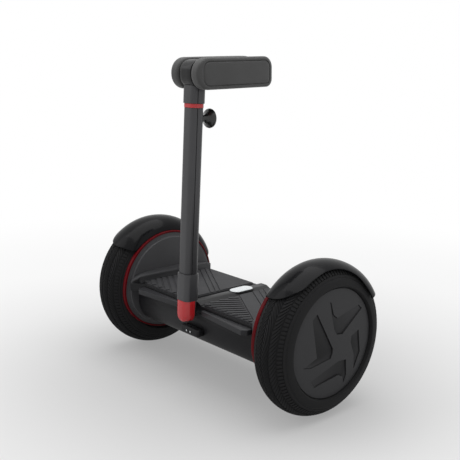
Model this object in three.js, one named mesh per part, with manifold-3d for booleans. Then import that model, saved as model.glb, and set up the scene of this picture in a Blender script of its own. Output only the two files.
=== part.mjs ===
// A two-wheeled self-balancing scooter with a knee-steered bar, in millimetres.
// +X runs along the axle to the rider's right-hand wheel as seen from the front, +Y to the rear, +Z up.
// The origin lies on the floor, under the middle of the axle.

import * as THREE from "three";
import { mergeVertices } from "three/addons/utils/BufferGeometryUtils.js";
import Module from "manifold-3d";

const wasm = await Module();
wasm.setup();

// Fits that the whole scooter shares
const fitGap = 0.3;
const runningGap = 0.5;
const cutOverrun = 4;
const weldDistance = 1e-4;

// Wheels: tyre, rim and cover
const wheelTrack = 458;
const tyreRadius = 133;
const tyreWidth = 76;
const tyreShoulder = 35;
const tyreWall = 7;
const tyreLip = 2.2;
const beadThickness = 6.7;
const tyreSectionHeight = 45;
const rimWall = 3;
const rimWidth = 58;
const rimFlangeHeight = 6;
const rimFlangeThickness = 2;
const rimWebInset = 5;
const rimWebThickness = 4;
const hubCoverOverlap = 7;
const hubCoverThickness = 3.7;
const hubCoverPocketDepth = 1.8;
const hubCoverFacets = [
  {
    radiusShares: [0.76, 0.77, 0.44, 0.79, 0.63, 0.27, 0.18, 0.09],
    angles: [125, 136, 203, 201, 211, 260, 268, 269],
  },
  {
    radiusShares: [0.87, 0.89, 0.27, 0.17, 0.26, 0.79, 0.77, 0.53, 0.46],
    angles: [42, 34, 27, 58, 88, 100, 97, 92, 80],
  },
  { radiusShares: [0.69, 0.49, 0.48, 0.67, 0.86, 0.81, 0.7], angles: [9, 4, -10, -30, -46, -23, -2] },
  {
    radiusShares: [0.79, 0.83, 0.65, 0.74, 0.88, 0.79, 0.53, 0.4],
    angles: [226, 238, 285, 293, 292, 300, 314, 294],
  },
];

// Hub motors, axles and bearings
const axleRadius = 8;
const axleReach = 112;
const bearingRadius = 13;
const bearingWidth = 9;
const bearingInset = 1;
const bearingBossWall = 4;
const motorCoverThickness = 3;
const magnetThickness = 4.5;
const magnetWidth = 34;
const airGap = 2.2;
const statorWidth = 24;
const statorClearance = 2;
const statorHubWall = 5;
const statorTeeth = 12;
const statorSlotDepth = 26;
const statorSlotWidth = 9;

// Flanks, red rings and fenders beside the wheels
const flankInset = 25.5;
const flankThickness = 12;
const flankWall = 3;
const flankEdgeRadius = 6;
const flankClearance = 2.7;
const flankLowerShare = 0.8;
const ringThickness = 3.6;
const ringWidth = 8;
const ringOverhang = 2.2;
const fenderHeight = 4;
const fenderWidth = 85;
const fenderSectionDepth = 30;
const fenderThickness = 2.2;
const fenderRearAngle = 21;
const fenderFrontAngle = 140.5;
const fenderRearSweep = 15;
const fenderFrontSweep = 4.5;
const fenderSweepPower = 5;
const fenderRearThinning = 1;
const fenderRearDrop = 0.8;
const fenderLipPositionShares = [0, 0.19, 0.36, 0.5, 0.66, 0.81, 0.93, 1];
const fenderLipAngleShares = [0.98, 0.88, 0.68, 0.56, 0.51, 0.51, 0.48, 0.39];

// Body between the wheels
const deckAboveAxle = 24;
const deckTaper = 20;
const deckTaperLength = 22;
const bodyFront = 82;
const bodyRear = 94;
const matRise = 5;
const matFrontMargin = 3;
const matRearMargin = 8;
const matSideMargin = 14;
const cheekWidth = 12;
const cheekHeightShares = [-0.05, 0.2, 0.42, 0.66, 0.83, 0.95, 1, 1, 0.9, 0.6];
const cheekPlaceShares = [0, 0.005, 0.02, 0.06, 0.12, 0.24, 0.37, 0.6, 0.83, 1];
const cheekRise = 21;
const cheekSlope = 6;
const noseUndercut = 5;
const matCornerRadius = 5;
const leastCornerRadius = 1;
const matEdgeChamfer = 1;
const spineWidth = 42;
const spineCoverThickness = 7.4;
const spineDepth = 2;
const recessDepth = 3;
const sensorThickness = 1;
const sensorMargin = 12;
const deckWall = 4;
const deckSkirt = 6.7;
const shellHeight = 66;
const shellWall = 3;
const shellFrontCurve = 35;
const shellRearCurve = 34;
const shellCurveHeight = 46;
const lightLength = 51;
const lightWidth = 25;
const lightOffset = 33;
const lightThickness = 3;
const lightRise = 1.5;
const railInnerEnd = 28;
const railOuterEnd = 156;
const railInnerDepth = 8;
const railOuterDepth = 20;
const railHeight = 9.5;
const railDrop = 10;
const railCornerRadius = 4;
const railEndSlant = 8;

// Chassis, battery and electronics
const frameFloor = 4;
const frameWall = 3;
const frameFront = 40;
const frameRear = 56;
const frameHeight = 58;
const frameEndInset = 25;
const frontGapHalf = 32;
const batteryLength = 200;
const batteryWidth = 56;
const batteryHeight = 38;
const batteryOffset = 22;
const batteryCorner = 5;
const batteryClearance = 1;
const batteryCoverMargin = 7;
const coverScrewRadius = 2.6;
const coverScrewHead = 1.4;
const coverScrewLength = 5;
const coverScrewInset = 4;
const tongueReach = 5;
const tongueThickness = 1.7;
const tongueWidth = 18;
const boardLength = 224;
const boardWidth = 60;
const boardThickness = 1.6;
const boardStandoff = 5;
const standoffRadius = 2.5;
const standoffInset = 4.5;
const chipHeight = 9;
const chipLength = 46;
const chipWidth = 30;
const chipSpacing = 64;
const axleBlockWidth = 30;
const axleBlockDepth = 28;

// Rear wall: charging socket with its cap, and the power button
const rearFittingSpread = 60;
const rearFittingDrop = 14;
const socketRadius = 9;
const socketDepth = 12;
const socketBore = 6;
const socketPinRadius = 1.5;
const capRadius = 11;
const capThickness = 3;
const capHingeWidth = 12;
const capHingeDrop = 3;
const buttonRadius = 7;
const buttonLength = 8;
const buttonRise = 2;
const buttonCollar = 1.6;

// Steering: pivot, stem, pole and clamp
const leanAngle = 1.9;
const housingCrown = 1.9;
const pivotFront = 100;
const pivotShaftRadius = 5;
const pivotShaftLength = 71;
const pivotBearingRadius = 9;
const pivotBearingWidth = 8;
const housingWidth = 48;
const housingFront = 74;
const housingRear = 14;
const housingWall = 4.5;
const pedestalDepth = 24;
const bushLength = 10;
const stemWidth = 34.5;
const stemDepth = 31;
const stemTop = 79.5;
const stemBottom = 8.8;
const capTop = 30;
const capBottomDrop = 1;
const capDepth = 16.5;
const capProud = 0.4;
const capTongueRadius = 15;
const spigotLength = 15;
const poleWidth = 31;
const poleDepth = 27.5;
const poleCorner = 10;
const poleWall = 2.2;
const poleLength = 293;
const poleGrooveWidth = 1;
const poleGrooveDepth = 0.7;
const bandHeight = 7;
const bandProud = 0.4;
const innerTubeClearance = 3;
const knobDrop = 18.3;
const knobRadius = 17.3;
const knobNeckRadius = 6;
const knobReach = 17;
const knobThickness = 10;
const studRadius = 4;
const clampBossRadius = 8;
const clampBossHeight = 3;
const pivotCoverWidth = 52;
const pivotCoverReach = 13;
const pivotCoverHeight = 14;
const pivotCoverDrop = 38.2;
const pivotCoverCorner = 5;
const pivotScrewRadius = 1.8;
const pivotScrewSpacing = 10.5;
const pivotScrewHead = 0.9;

// Head: collar, core and knee pads
const collarWidth = 34;
const collarDepth = 30.5;
const collarHeight = 33;
const headTilt = 1.7;
const headRise = 17.6;
const headCoreWidth = 34;
const headCoreHeight = 47;
const headFront = 23.5;
const headCoreLength = 166;
const headFrontRadius = 20;
const headRearRadius = 12;
const padLength = 180.5;
const padHeight = 54;
const padThickness = 23;
const padFront = 25;
const padFrontRadius = 26.5;
const padTopRearRadius = 22;
const padRearRadius = 14;
const padCrown = 1.6;
const padEdgeRadius = 9;
const padRearTaper = 10;

// Steps that a full turn, a rounded corner or a part of the fender is drawn with
const wheelSteps = 32;
const shaftSteps = 16;
const cornerSteps = 3;
const shellCurveSteps = 6;
const fenderSteps = 16;
const sectionSteps = 7;
const tyreArcSteps = 8;
const tyreInnerArcSteps = 4;

// Places worked out from the sizes above
const wheelX = wheelTrack / 2;
const rimHalf = rimWidth / 2;
const rimRadius = tyreRadius - tyreSectionHeight;
const hubCoverRadius = rimRadius + hubCoverOverlap;
const statorRadius = rimRadius - rimWall - fitGap - magnetThickness - airGap;
const flankRadius = tyreRadius - flankInset;
const axleEndX = rimHalf - rimWebInset - rimWebThickness - fitGap;
const hubCoverOuter = rimHalf + fitGap + hubCoverThickness;
const flankOuterX = wheelX - tyreWidth / 2 - flankClearance;
const flankInnerX = flankOuterX - flankThickness;
const bodyEndX = flankInnerX - fitGap;
const deckHeight = tyreRadius + deckAboveAxle;
const deckPlateTop = deckHeight - matRise;
const deckFloor = deckPlateTop - recessDepth;
const deckUnderside = deckFloor - deckWall;
const deckBottom = deckUnderside - deckSkirt;
const axleBlockTop = deckUnderside - runningGap;
const shellTop = deckBottom - fitGap;
const shellBottom = shellTop - shellHeight;
const shellFloor = shellBottom + shellWall;
const frameBottom = shellFloor + fitGap;
const frameFloorTop = frameBottom + frameFloor;
const frameEndX = bodyEndX - frameEndInset;
const batteryCoverTop = shellFloor - fitGap;
const batteryBottom = frameBottom;
const ringRadius = flankRadius + fitGap + ringThickness;
const lean = THREE.MathUtils.degToRad(leanAngle);
const pivotHeight = deckUnderside - fitGap - housingCrown - fitGap - pivotBearingRadius;
const pivotCoverBottom = pivotHeight - pivotCoverDrop;
const shaftInset = capDepth - stemDepth / 2 + 2 * fitGap;
const tubeBoreWidth = poleWidth - 2 * poleWall;
const tubeBoreDepth = poleDepth - 2 * poleWall;
const innerTubeWidth = tubeBoreWidth - 2 * runningGap;
const innerTubeDepth = tubeBoreDepth - 2 * runningGap;
const poleBottom = stemTop + fitGap;
const poleTop = poleBottom + poleLength;
const knobHeight = poleTop - knobDrop;
const bandTop = poleTop + fitGap + bandHeight;
const collarBottom = bandTop + fitGap;
const collarTop = collarBottom + collarHeight;
const headHeight = collarTop + headRise;
const innerTubeBottom = stemTop + spigotLength + innerTubeClearance;
const rearFittingZ = shellTop - rearFittingDrop;
const rearBearingEnd = -housingRear - bushLength - housingWall - fitGap;
const coverScrewPlace = { x: 0, y: batteryOffset + batteryWidth / 2 + batteryCoverMargin - coverScrewInset };

// Materials
const materials = {
  tyre: new THREE.MeshStandardMaterial({ color: 0x242424, roughness: 0.85, metalness: 0 }),
  shell: new THREE.MeshStandardMaterial({ color: 0x2b2b2c, roughness: 0.45, metalness: 0 }),
  fender: new THREE.MeshStandardMaterial({ color: 0x1c1c1d, roughness: 0.3, metalness: 0 }),
  cover: new THREE.MeshStandardMaterial({ color: 0x343435, roughness: 0.55, metalness: 0 }),
  mat: new THREE.MeshStandardMaterial({ color: 0x2f2f30, roughness: 0.75, metalness: 0 }),
  pad: new THREE.MeshStandardMaterial({ color: 0x3a3a3b, roughness: 0.7, metalness: 0 }),
  pole: new THREE.MeshStandardMaterial({ color: 0x363637, roughness: 0.4, metalness: 0.2 }),
  gloss: new THREE.MeshStandardMaterial({ color: 0x161617, roughness: 0.18, metalness: 0 }),
  red: new THREE.MeshStandardMaterial({ color: 0xb02024, roughness: 0.35, metalness: 0 }),
  light: new THREE.MeshStandardMaterial({ color: 0xf1f3f4, roughness: 0.25, metalness: 0 }),
  aluminium: new THREE.MeshStandardMaterial({ color: 0xa9abae, roughness: 0.4, metalness: 1 }),
  steel: new THREE.MeshStandardMaterial({ color: 0xb9bbbd, roughness: 0.3, metalness: 1 }),
  magnet: new THREE.MeshStandardMaterial({ color: 0x6d6f72, roughness: 0.35, metalness: 1 }),
  copper: new THREE.MeshStandardMaterial({ color: 0xa5653a, roughness: 0.45, metalness: 1 }),
  battery: new THREE.MeshStandardMaterial({ color: 0x2a4b7c, roughness: 0.5, metalness: 0 }),
  board: new THREE.MeshStandardMaterial({ color: 0x1d5a34, roughness: 0.5, metalness: 0 }),
  sensor: new THREE.MeshStandardMaterial({ color: 0x55575a, roughness: 0.6, metalness: 0 }),
  rubber: new THREE.MeshStandardMaterial({ color: 0x1d1d1e, roughness: 0.8, metalness: 0 }),
};

/** A closed geometry as a solid: corners merged, slivers dropped, faces turned outward. */
function solid(geometry) {
  const plain = geometry.index ? geometry.toNonIndexed() : geometry.clone();
  plain.deleteAttribute("normal");
  plain.deleteAttribute("uv");
  const merged = mergeVertices(plain, weldDistance);
  const points = merged.getAttribute("position");
  const index = merged.index.array;
  const corner = [new THREE.Vector3(), new THREE.Vector3(), new THREE.Vector3()];
  const kept = [];
  let volume = 0;
  for (let i = 0; i < index.length; i += 3) {
    const [a, b, c] = [index[i], index[i + 1], index[i + 2]];
    if (a === b || b === c || c === a) continue;
    kept.push(a, b, c);
    [a, b, c].forEach((vertex, k) => corner[k].fromBufferAttribute(points, vertex));
    volume += corner[0].dot(corner[1].clone().cross(corner[2]));
  }
  if (volume < 0) {
    for (let i = 0; i < kept.length; i += 3) [kept[i + 1], kept[i + 2]] = [kept[i + 2], kept[i + 1]];
  }
  const mesh = new wasm.Mesh({
    numProp: 3,
    vertProperties: new Float32Array(points.array),
    triVerts: new Uint32Array(kept),
  });
  return new wasm.Manifold(mesh);
}

/** A solid's triangles as a three.js geometry, mirrored across X when asked. */
function geometryOf(body, mirror = false) {
  const { vertProperties, triVerts, numProp } = body.getMesh();
  const position = new Float32Array(vertProperties.length / numProp * 3);
  const flip = mirror ? -1 : 1;
  for (let i = 0; i < position.length / 3; i += 1) {
    position[3 * i] = flip * vertProperties[numProp * i];
    position[3 * i + 1] = vertProperties[numProp * i + 1];
    position[3 * i + 2] = vertProperties[numProp * i + 2];
  }
  const index = Array.from(triVerts);
  if (mirror) {
    for (let i = 0; i < index.length; i += 3) [index[i + 1], index[i + 2]] = [index[i + 2], index[i + 1]];
  }
  const geometry = new THREE.BufferGeometry();
  geometry.setAttribute("position", new THREE.BufferAttribute(position, 3));
  geometry.setIndex(index);
  geometry.computeVertexNormals();
  return geometry;
}

function joined(bodies) {
  return bodies.reduce((whole, body) => whole.add(body));
}

function cutBy(body, cutters) {
  return cutters.reduce((rest, cutter) => rest.subtract(cutter), body);
}

/** A named mesh of a solid, placed in its group. */
function piece(name, body, material, { x = 0, y = 0, z = 0, mirror = false } = {}) {
  const mesh = new THREE.Mesh(geometryOf(body, mirror), materials[material].clone());
  mesh.name = name;
  mesh.position.set(x, y, z);
  return mesh;
}

function box([x0, x1], [y0, y1], [z0, z1]) {
  const geometry = new THREE.BoxGeometry(x1 - x0, y1 - y0, z1 - z0);
  geometry.translate((x0 + x1) / 2, (y0 + y1) / 2, (z0 + z1) / 2);
  return solid(geometry);
}

const turnTo = {
  x: new THREE.Matrix4().makeBasis(
    new THREE.Vector3(0, 1, 0), new THREE.Vector3(0, 0, 1), new THREE.Vector3(1, 0, 0)),
  y: new THREE.Matrix4().makeBasis(
    new THREE.Vector3(0, 0, 1), new THREE.Vector3(1, 0, 0), new THREE.Vector3(0, 1, 0)),
  z: new THREE.Matrix4(),
};

/** An outline pushed along an axis: drawn in (Y, Z) for x, (Z, X) for y and (X, Y) for z. */
function prism(shape, axis, from, to, { x = 0, y = 0, z = 0, steps = cornerSteps } = {}) {
  const geometry = new THREE.ExtrudeGeometry(shape, {
    depth: to - from, bevelEnabled: false, curveSegments: steps,
  });
  geometry.translate(0, 0, from);
  geometry.applyMatrix4(turnTo[axis]);
  geometry.translate(x, y, z);
  return solid(geometry);
}

/** A round bar along an axis, between two places on it. */
function rod(axis, radius, from, to, place = {}, steps = shaftSteps) {
  const circle = new THREE.Shape();
  circle.absarc(0, 0, radius, 0, 2 * Math.PI);
  return prism(circle, axis, from, to, { ...place, steps: steps / 2 });
}

/** A ring along an axis, with a round hole. */
function tube(axis, radius, hole, from, to, place = {}, steps = shaftSteps) {
  return cutBy(rod(axis, radius, from, to, place, steps), [
    rod(axis, hole, from - cutOverrun, to + cutOverrun, place, steps),
  ]);
}

/** A profile of [along, radius] points turned about the X axis. */
function turned(profile, steps = wheelSteps) {
  const points = profile.map(([along, radius]) => new THREE.Vector2(radius, along));
  const geometry = new THREE.LatheGeometry(points, steps);
  geometry.rotateZ(-Math.PI / 2);
  return solid(geometry);
}

/** A profile of [along, radius] points turned about the Y axis. */
function turnedAboutY(profile, steps = shaftSteps) {
  const points = profile.map(([along, radius]) => new THREE.Vector2(radius, along));
  return solid(new THREE.LatheGeometry(points, steps));
}

/** A rectangle with its own radius at each corner: low-low, high-low, high-high, low-high. */
function roundedShape([x0, x1], [y0, y1], radii) {
  const [a, b, c, d] = Array.isArray(radii) ? radii : [radii, radii, radii, radii];
  const quarter = Math.PI / 2;
  const shape = new THREE.Shape();
  shape.absarc(x0 + a, y0 + a, a, -2 * quarter, -quarter);
  shape.absarc(x1 - b, y0 + b, b, -quarter, 0);
  shape.absarc(x1 - c, y1 - c, c, 0, quarter);
  shape.absarc(x0 + d, y1 - d, d, quarter, 2 * quarter);
  shape.closePath();
  return shape;
}

/** The points of part of an ellipse, angle 0 on the second axis. */
function ellipsePoints([u, v], [radiusU, radiusV], [from, to], steps) {
  const points = [];
  for (let i = 0; i <= steps; i += 1) {
    const angle = from + (to - from) * i / steps;
    points.push([u + radiusU * Math.sin(angle), v + radiusV * Math.cos(angle)]);
  }
  return points;
}

/** Smooth values between chosen ones: places and values are lists of equal length. */
function smoothValue(places, values, at) {
  const last = places.length - 1;
  let k = 0;
  while (k < last - 1 && at > places[k + 1]) k += 1;
  const t = THREE.MathUtils.clamp((at - places[k]) / (places[k + 1] - places[k]), 0, 1);
  return THREE.MathUtils.lerp(values[k], values[k + 1], t * t * (3 - 2 * t));
}

// Wheel pieces, drawn about the wheel's middle with +X outward

/** An open C-shaped tyre: rounded tread and sidewalls, open toward the rim. */
function tyreBody() {
  const half = tyreWidth / 2;
  const sidewall = tyreRadius - tyreShoulder;
  const beadOuter = rimHalf - rimFlangeThickness - fitGap;
  const beadInner = beadOuter - beadThickness;
  const beadRadius = rimRadius + fitGap;
  const lipRadius = Math.max(hubCoverRadius, rimRadius + rimFlangeHeight) + runningGap;
  const lipHalf = half - tyreLip;
  const innerHalf = half - tyreWall;
  return turned([
    [-beadOuter, beadRadius],
    [-beadOuter, lipRadius],
    [-lipHalf, lipRadius],
    ...ellipsePoints([0, sidewall], [half, tyreShoulder], [-Math.PI / 2, Math.PI / 2], tyreArcSteps),
    [lipHalf, lipRadius],
    [beadOuter, lipRadius],
    [beadOuter, beadRadius],
    [beadInner, beadRadius],
    ...ellipsePoints([0, sidewall], [innerHalf, tyreShoulder - tyreWall],
      [Math.PI / 2, -Math.PI / 2], tyreInnerArcSteps),
    [-beadInner, beadRadius],
    [-beadOuter, beadRadius],
  ]);
}

/** The wheel rim: barrel with flanges, outer web and a blind seat for the outer bearing. */
function rimBody() {
  const flangeRadius = rimRadius + rimFlangeHeight;
  const flangeInner = rimHalf - rimFlangeThickness;
  const barrelInside = rimRadius - rimWall;
  const webOuter = rimHalf - rimWebInset;
  const webInner = webOuter - rimWebThickness;
  const seatRadius = bearingRadius + fitGap;
  const seatFloor = webInner;
  const bossEnd = seatFloor - bearingInset - bearingWidth;
  return turned([
    [webOuter, 0],
    [webOuter, barrelInside],
    [rimHalf, barrelInside],
    [rimHalf, flangeRadius],
    [flangeInner, flangeRadius],
    [flangeInner, rimRadius],
    [-flangeInner, rimRadius],
    [-flangeInner, flangeRadius],
    [-rimHalf, flangeRadius],
    [-rimHalf, barrelInside],
    [webInner, barrelInside],
    [webInner, seatRadius + bearingBossWall],
    [bossEnd, seatRadius + bearingBossWall],
    [bossEnd, seatRadius],
    [seatFloor, seatRadius],
    [seatFloor, 0],
  ]);
}

/** The inner lid of the motor, with the seat of the inner bearing. */
function motorCoverBody() {
  const seatRadius = bearingRadius + fitGap;
  const bossEnd = -rimHalf + bearingInset + bearingWidth;
  return turned([
    [-rimHalf, seatRadius],
    [-rimHalf, rimRadius - rimWall - fitGap],
    [-rimHalf + motorCoverThickness, rimRadius - rimWall - fitGap],
    [-rimHalf + motorCoverThickness, seatRadius + bearingBossWall],
    [bossEnd, seatRadius + bearingBossWall],
    [bossEnd, seatRadius],
    [-rimHalf, seatRadius],
  ]);
}

/** A wheel bearing that starts at a place along the axle. */
function bearingBody(start) {
  return tube("x", bearingRadius, axleRadius + fitGap, start, start + bearingWidth);
}

/** The ring of magnets on the inside of the rim. */
function magnetBody() {
  const outer = rimRadius - rimWall - fitGap;
  const inner = outer - magnetThickness;
  const start = -rimHalf + motorCoverThickness + fitGap;
  return tube("x", outer, inner, start, start + magnetWidth, {}, wheelSteps);
}

/** The outline of a sunk facet of the hub cover, from its corners' radii and angles. */
function facetShape({ radiusShares, angles }) {
  const shape = new THREE.Shape();
  radiusShares.forEach((share, i) => {
    const radius = share * hubCoverRadius;
    const angle = THREE.MathUtils.degToRad(angles[i]);
    const [a, b] = [radius * Math.cos(angle), radius * Math.sin(angle)];
    if (i === 0) shape.moveTo(a, b);
    else shape.lineTo(a, b);
  });
  shape.closePath();
  return shape;
}

/** The round cover on the outside of the wheel, with sunk facets set like a pinwheel. */
function hubCoverBody() {
  const start = rimHalf + fitGap;
  const chamfer = hubCoverThickness / 2;
  const plate = turned([
    [start, 0],
    [start, hubCoverRadius],
    [hubCoverOuter - chamfer, hubCoverRadius],
    [hubCoverOuter, hubCoverRadius - chamfer],
    [hubCoverOuter, 0],
  ]);
  const pocketFloor = hubCoverOuter - hubCoverPocketDepth;
  const top = hubCoverOuter + cutOverrun;
  const pockets = hubCoverFacets.map((facet) => prism(facetShape(facet), "x", pocketFloor, top));
  return cutBy(plate, pockets);
}

/** One wheel: the turning pieces round a hub motor. */
function wheelGroup(side) {
  const group = new THREE.Group();
  group.add(piece(`${side}_tyre`, tyreBody(), "tyre"));
  group.add(piece(`${side}_rim`, rimBody(), "aluminium"));
  group.add(piece(`${side}_magnet_ring`, magnetBody(), "magnet"));
  group.add(piece(`${side}_motor_cover`, motorCoverBody(), "aluminium"));
  group.add(piece(`${side}_inner_bearing`, bearingBody(-rimHalf + bearingInset), "steel"));
  group.add(piece(`${side}_outer_bearing`, bearingBody(axleEndX - bearingWidth), "steel"));
  group.add(piece(`${side}_hub_cover`, hubCoverBody(), "cover"));
  return group;
}

// Fixed pieces beside each wheel, drawn on the +X side with X counted from the middle of the scooter

/** The fixed axle, from its block in the chassis to the outer bearing. */
function axleBody() {
  return rod("x", axleRadius, axleReach, wheelX + axleEndX);
}

/** The motor's stator: a toothed core on the axle. */
function statorBody() {
  const start = wheelX - rimHalf + bearingInset + bearingWidth + statorClearance;
  const middle = start + statorWidth / 2;
  const core = tube("x", statorRadius, axleRadius + fitGap, start, start + statorWidth, {}, wheelSteps);
  const slotInner = statorRadius - statorSlotDepth;
  const windowOuter = slotInner - statorHubWall;
  const windowInner = axleRadius + fitGap + statorHubWall;
  const slotLength = statorWidth + 2 * cutOverrun;
  const slot = new THREE.BoxGeometry(slotLength, statorSlotWidth, statorSlotDepth + cutOverrun);
  slot.translate(middle, 0, slotInner + (statorSlotDepth + cutOverrun) / 2);
  const window = new THREE.BoxGeometry(slotLength, statorSlotWidth, windowOuter - windowInner);
  window.translate(middle, 0, (windowOuter + windowInner) / 2);
  const cutters = [];
  for (let i = 0; i < statorTeeth; i += 1) {
    cutters.push(solid(slot.clone().rotateX(i * 2 * Math.PI / statorTeeth)));
    if (i % 3 === 0) cutters.push(solid(window.clone().rotateX(i * 2 * Math.PI / statorTeeth)));
  }
  return cutBy(core, cutters);
}

/** A turned body with its lower half flattened, as the flanks are. */
function flattenedBelow(body) {
  const geometry = geometryOf(body);
  const points = geometry.getAttribute("position");
  for (let i = 0; i < points.count; i += 1) {
    if (points.getZ(i) < 0) points.setZ(i, points.getZ(i) * flankLowerShare);
  }
  return solid(geometry);
}

/** The flank that closes the body beside the wheel, hollow toward the wheel. */
function flankBody() {
  const rounding = ellipsePoints([flankInnerX + flankEdgeRadius, flankRadius - flankEdgeRadius],
    [flankEdgeRadius, flankEdgeRadius], [-Math.PI / 2, 0], cornerSteps);
  const disc = flattenedBelow(turned([
    [flankInnerX, 0],
    ...rounding,
    [flankOuterX, flankRadius],
    [flankOuterX, flankRadius - flankWall],
    [flankInnerX + flankWall, flankRadius - flankEdgeRadius],
    [flankInnerX + flankWall, 0],
  ]));
  return disc.subtract(rod("x", axleRadius + runningGap, flankInnerX - cutOverrun, flankOuterX + cutOverrun));
}

/** The red trim ring round the flank's outer edge. */
function redRingBody() {
  const inner = flankRadius + fitGap;
  const end = flankOuterX + ringOverhang;
  const start = end - ringWidth;
  const bevel = ringThickness / 3;
  return flattenedBelow(turned([
    [start, inner],
    [start, ringRadius - bevel],
    [start + bevel, ringRadius],
    [end - bevel, ringRadius],
    [end, ringRadius - bevel],
    [end, inner],
    [start, inner],
  ]));
}

/** The thin fender over the tyre, its outer lip deep at the rear and cut back in front. */
function fenderBody() {
  const top = tyreRadius + fenderHeight;
  const base = top - fenderSectionDepth;
  const edge = ringRadius + fitGap;
  const skins = [
    { inset: 0, drop: fenderRearDrop + fenderRearThinning },
    { inset: fenderThickness, drop: fenderRearDrop },
  ];
  const grids = skins.map(({ inset, drop }) => {
    const rows = [];
    for (let i = 0; i <= fenderSteps; i += 1) {
      const along = i / fenderSteps;
      const lip = smoothValue(fenderLipPositionShares, fenderLipAngleShares, along) * Math.PI / 2;
      const half = fenderWidth / 2 - inset;
      const depth = fenderSectionDepth - inset - drop * (1 - along) ** 2;
      const start = -Math.acos((edge - base) / depth);
      rows.push(ellipsePoints([wheelX, base], [half, depth], [start, lip], sectionSteps)
        .map(([x, radius], j) => {
          const angle = fenderAngle(along, j / sectionSteps);
          return [x, radius * Math.cos(angle), radius * Math.sin(angle)];
        }));
    }
    return rows;
  });
  return shellBetween(grids[0], grids[1]);
}

/** The angle round the axle of a place on the fender; both ends are swept back toward the outside. */
function fenderAngle(along, across) {
  const rear = fenderRearAngle + fenderRearSweep * across;
  const front = fenderFrontAngle - fenderFrontSweep * across ** fenderSweepPower;
  return THREE.MathUtils.degToRad(THREE.MathUtils.lerp(rear, front, along));
}

/** A closed shell between two equal grids of points. */
function shellBetween(outer, inner) {
  const rows = outer.length;
  const columns = outer[0].length;
  const position = [...outer.flat(2), ...inner.flat(2)];
  const at = (skin, i, j) => skin * rows * columns + i * columns + j;
  const index = [];
  const quad = (a, b, c, d) => index.push(a, b, c, a, c, d);
  for (let i = 0; i + 1 < rows; i += 1) {
    for (let j = 0; j + 1 < columns; j += 1) {
      quad(at(0, i, j), at(0, i, j + 1), at(0, i + 1, j + 1), at(0, i + 1, j));
      quad(at(1, i, j), at(1, i + 1, j), at(1, i + 1, j + 1), at(1, i, j + 1));
    }
    quad(at(0, i, 0), at(0, i + 1, 0), at(1, i + 1, 0), at(1, i, 0));
    quad(at(0, i, columns - 1), at(1, i, columns - 1), at(1, i + 1, columns - 1), at(0, i + 1, columns - 1));
  }
  for (let j = 0; j + 1 < columns; j += 1) {
    quad(at(0, 0, j), at(1, 0, j), at(1, 0, j + 1), at(0, 0, j + 1));
    quad(at(0, rows - 1, j), at(0, rows - 1, j + 1), at(1, rows - 1, j + 1), at(1, rows - 1, j));
  }
  const geometry = new THREE.BufferGeometry();
  geometry.setAttribute("position", new THREE.Float32BufferAttribute(position, 3));
  geometry.setIndex(index);
  return solid(geometry);
}

/** The pieces beside one wheel that stay still. */
function sideGroup(side, mirror) {
  const group = new THREE.Group();
  const z = tyreRadius;
  group.add(piece(`${side}_axle`, axleBody(), "steel", { z, mirror }));
  group.add(piece(`${side}_stator`, statorBody(), "copper", { z, mirror }));
  group.add(piece(`${side}_flank`, flankBody(), "shell", { z, mirror }));
  group.add(piece(`${side}_red_ring`, redRingBody(), "red", { z, mirror }));
  group.add(piece(`${side}_fender`, fenderBody(), "fender", { z, mirror }));
  return group;
}

// Body pieces

/** The deck's outline from above, a little wider in front where it meets the flanks. */
function deckOutline() {
  const shape = new THREE.Shape();
  shape.moveTo(-bodyEndX, -bodyFront - deckTaper);
  shape.lineTo(-bodyEndX + deckTaperLength, -bodyFront);
  shape.lineTo(bodyEndX - deckTaperLength, -bodyFront);
  shape.lineTo(bodyEndX, -bodyFront - deckTaper);
  shape.lineTo(bodyEndX, bodyRear);
  shape.lineTo(-bodyEndX, bodyRear);
  shape.closePath();
  return shape;
}

/** The mat's outline on the +X side, grown by a margin. */
function matOutline(margin) {
  return roundedShape(
    [spineWidth / 2 - margin, bodyEndX - matSideMargin + margin],
    [-bodyFront + matFrontMargin - margin, bodyRear - matRearMargin + margin],
    Math.max(matCornerRadius + margin, leastCornerRadius));
}

/** The raised cheeks at both ends of the deck: a nose in front, and a top that slopes inward. */
function cheekBodies() {
  const front = -bodyFront - deckTaper;
  const side = new THREE.Shape();
  side.moveTo(front + noseUndercut, deckBottom);
  cheekPlaceShares.forEach((share, i) =>
    side.lineTo(front + share * (bodyRear - front), deckPlateTop + cheekHeightShares[i] * cheekRise));
  side.lineTo(bodyRear, deckBottom);
  side.closePath();
  const inner = bodyEndX - cheekWidth;
  const crest = deckPlateTop + cheekRise;
  const section = new THREE.Shape();
  section.moveTo(deckBottom, inner);
  section.lineTo(crest - cheekSlope, inner);
  section.lineTo(crest, bodyEndX);
  section.lineTo(deckBottom, bodyEndX);
  section.closePath();
  const cheek = prism(side, "x", inner, bodyEndX).intersect(prism(section, "y", front, bodyRear));
  return [cheek, solid(geometryOf(cheek, true))];
}

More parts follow.
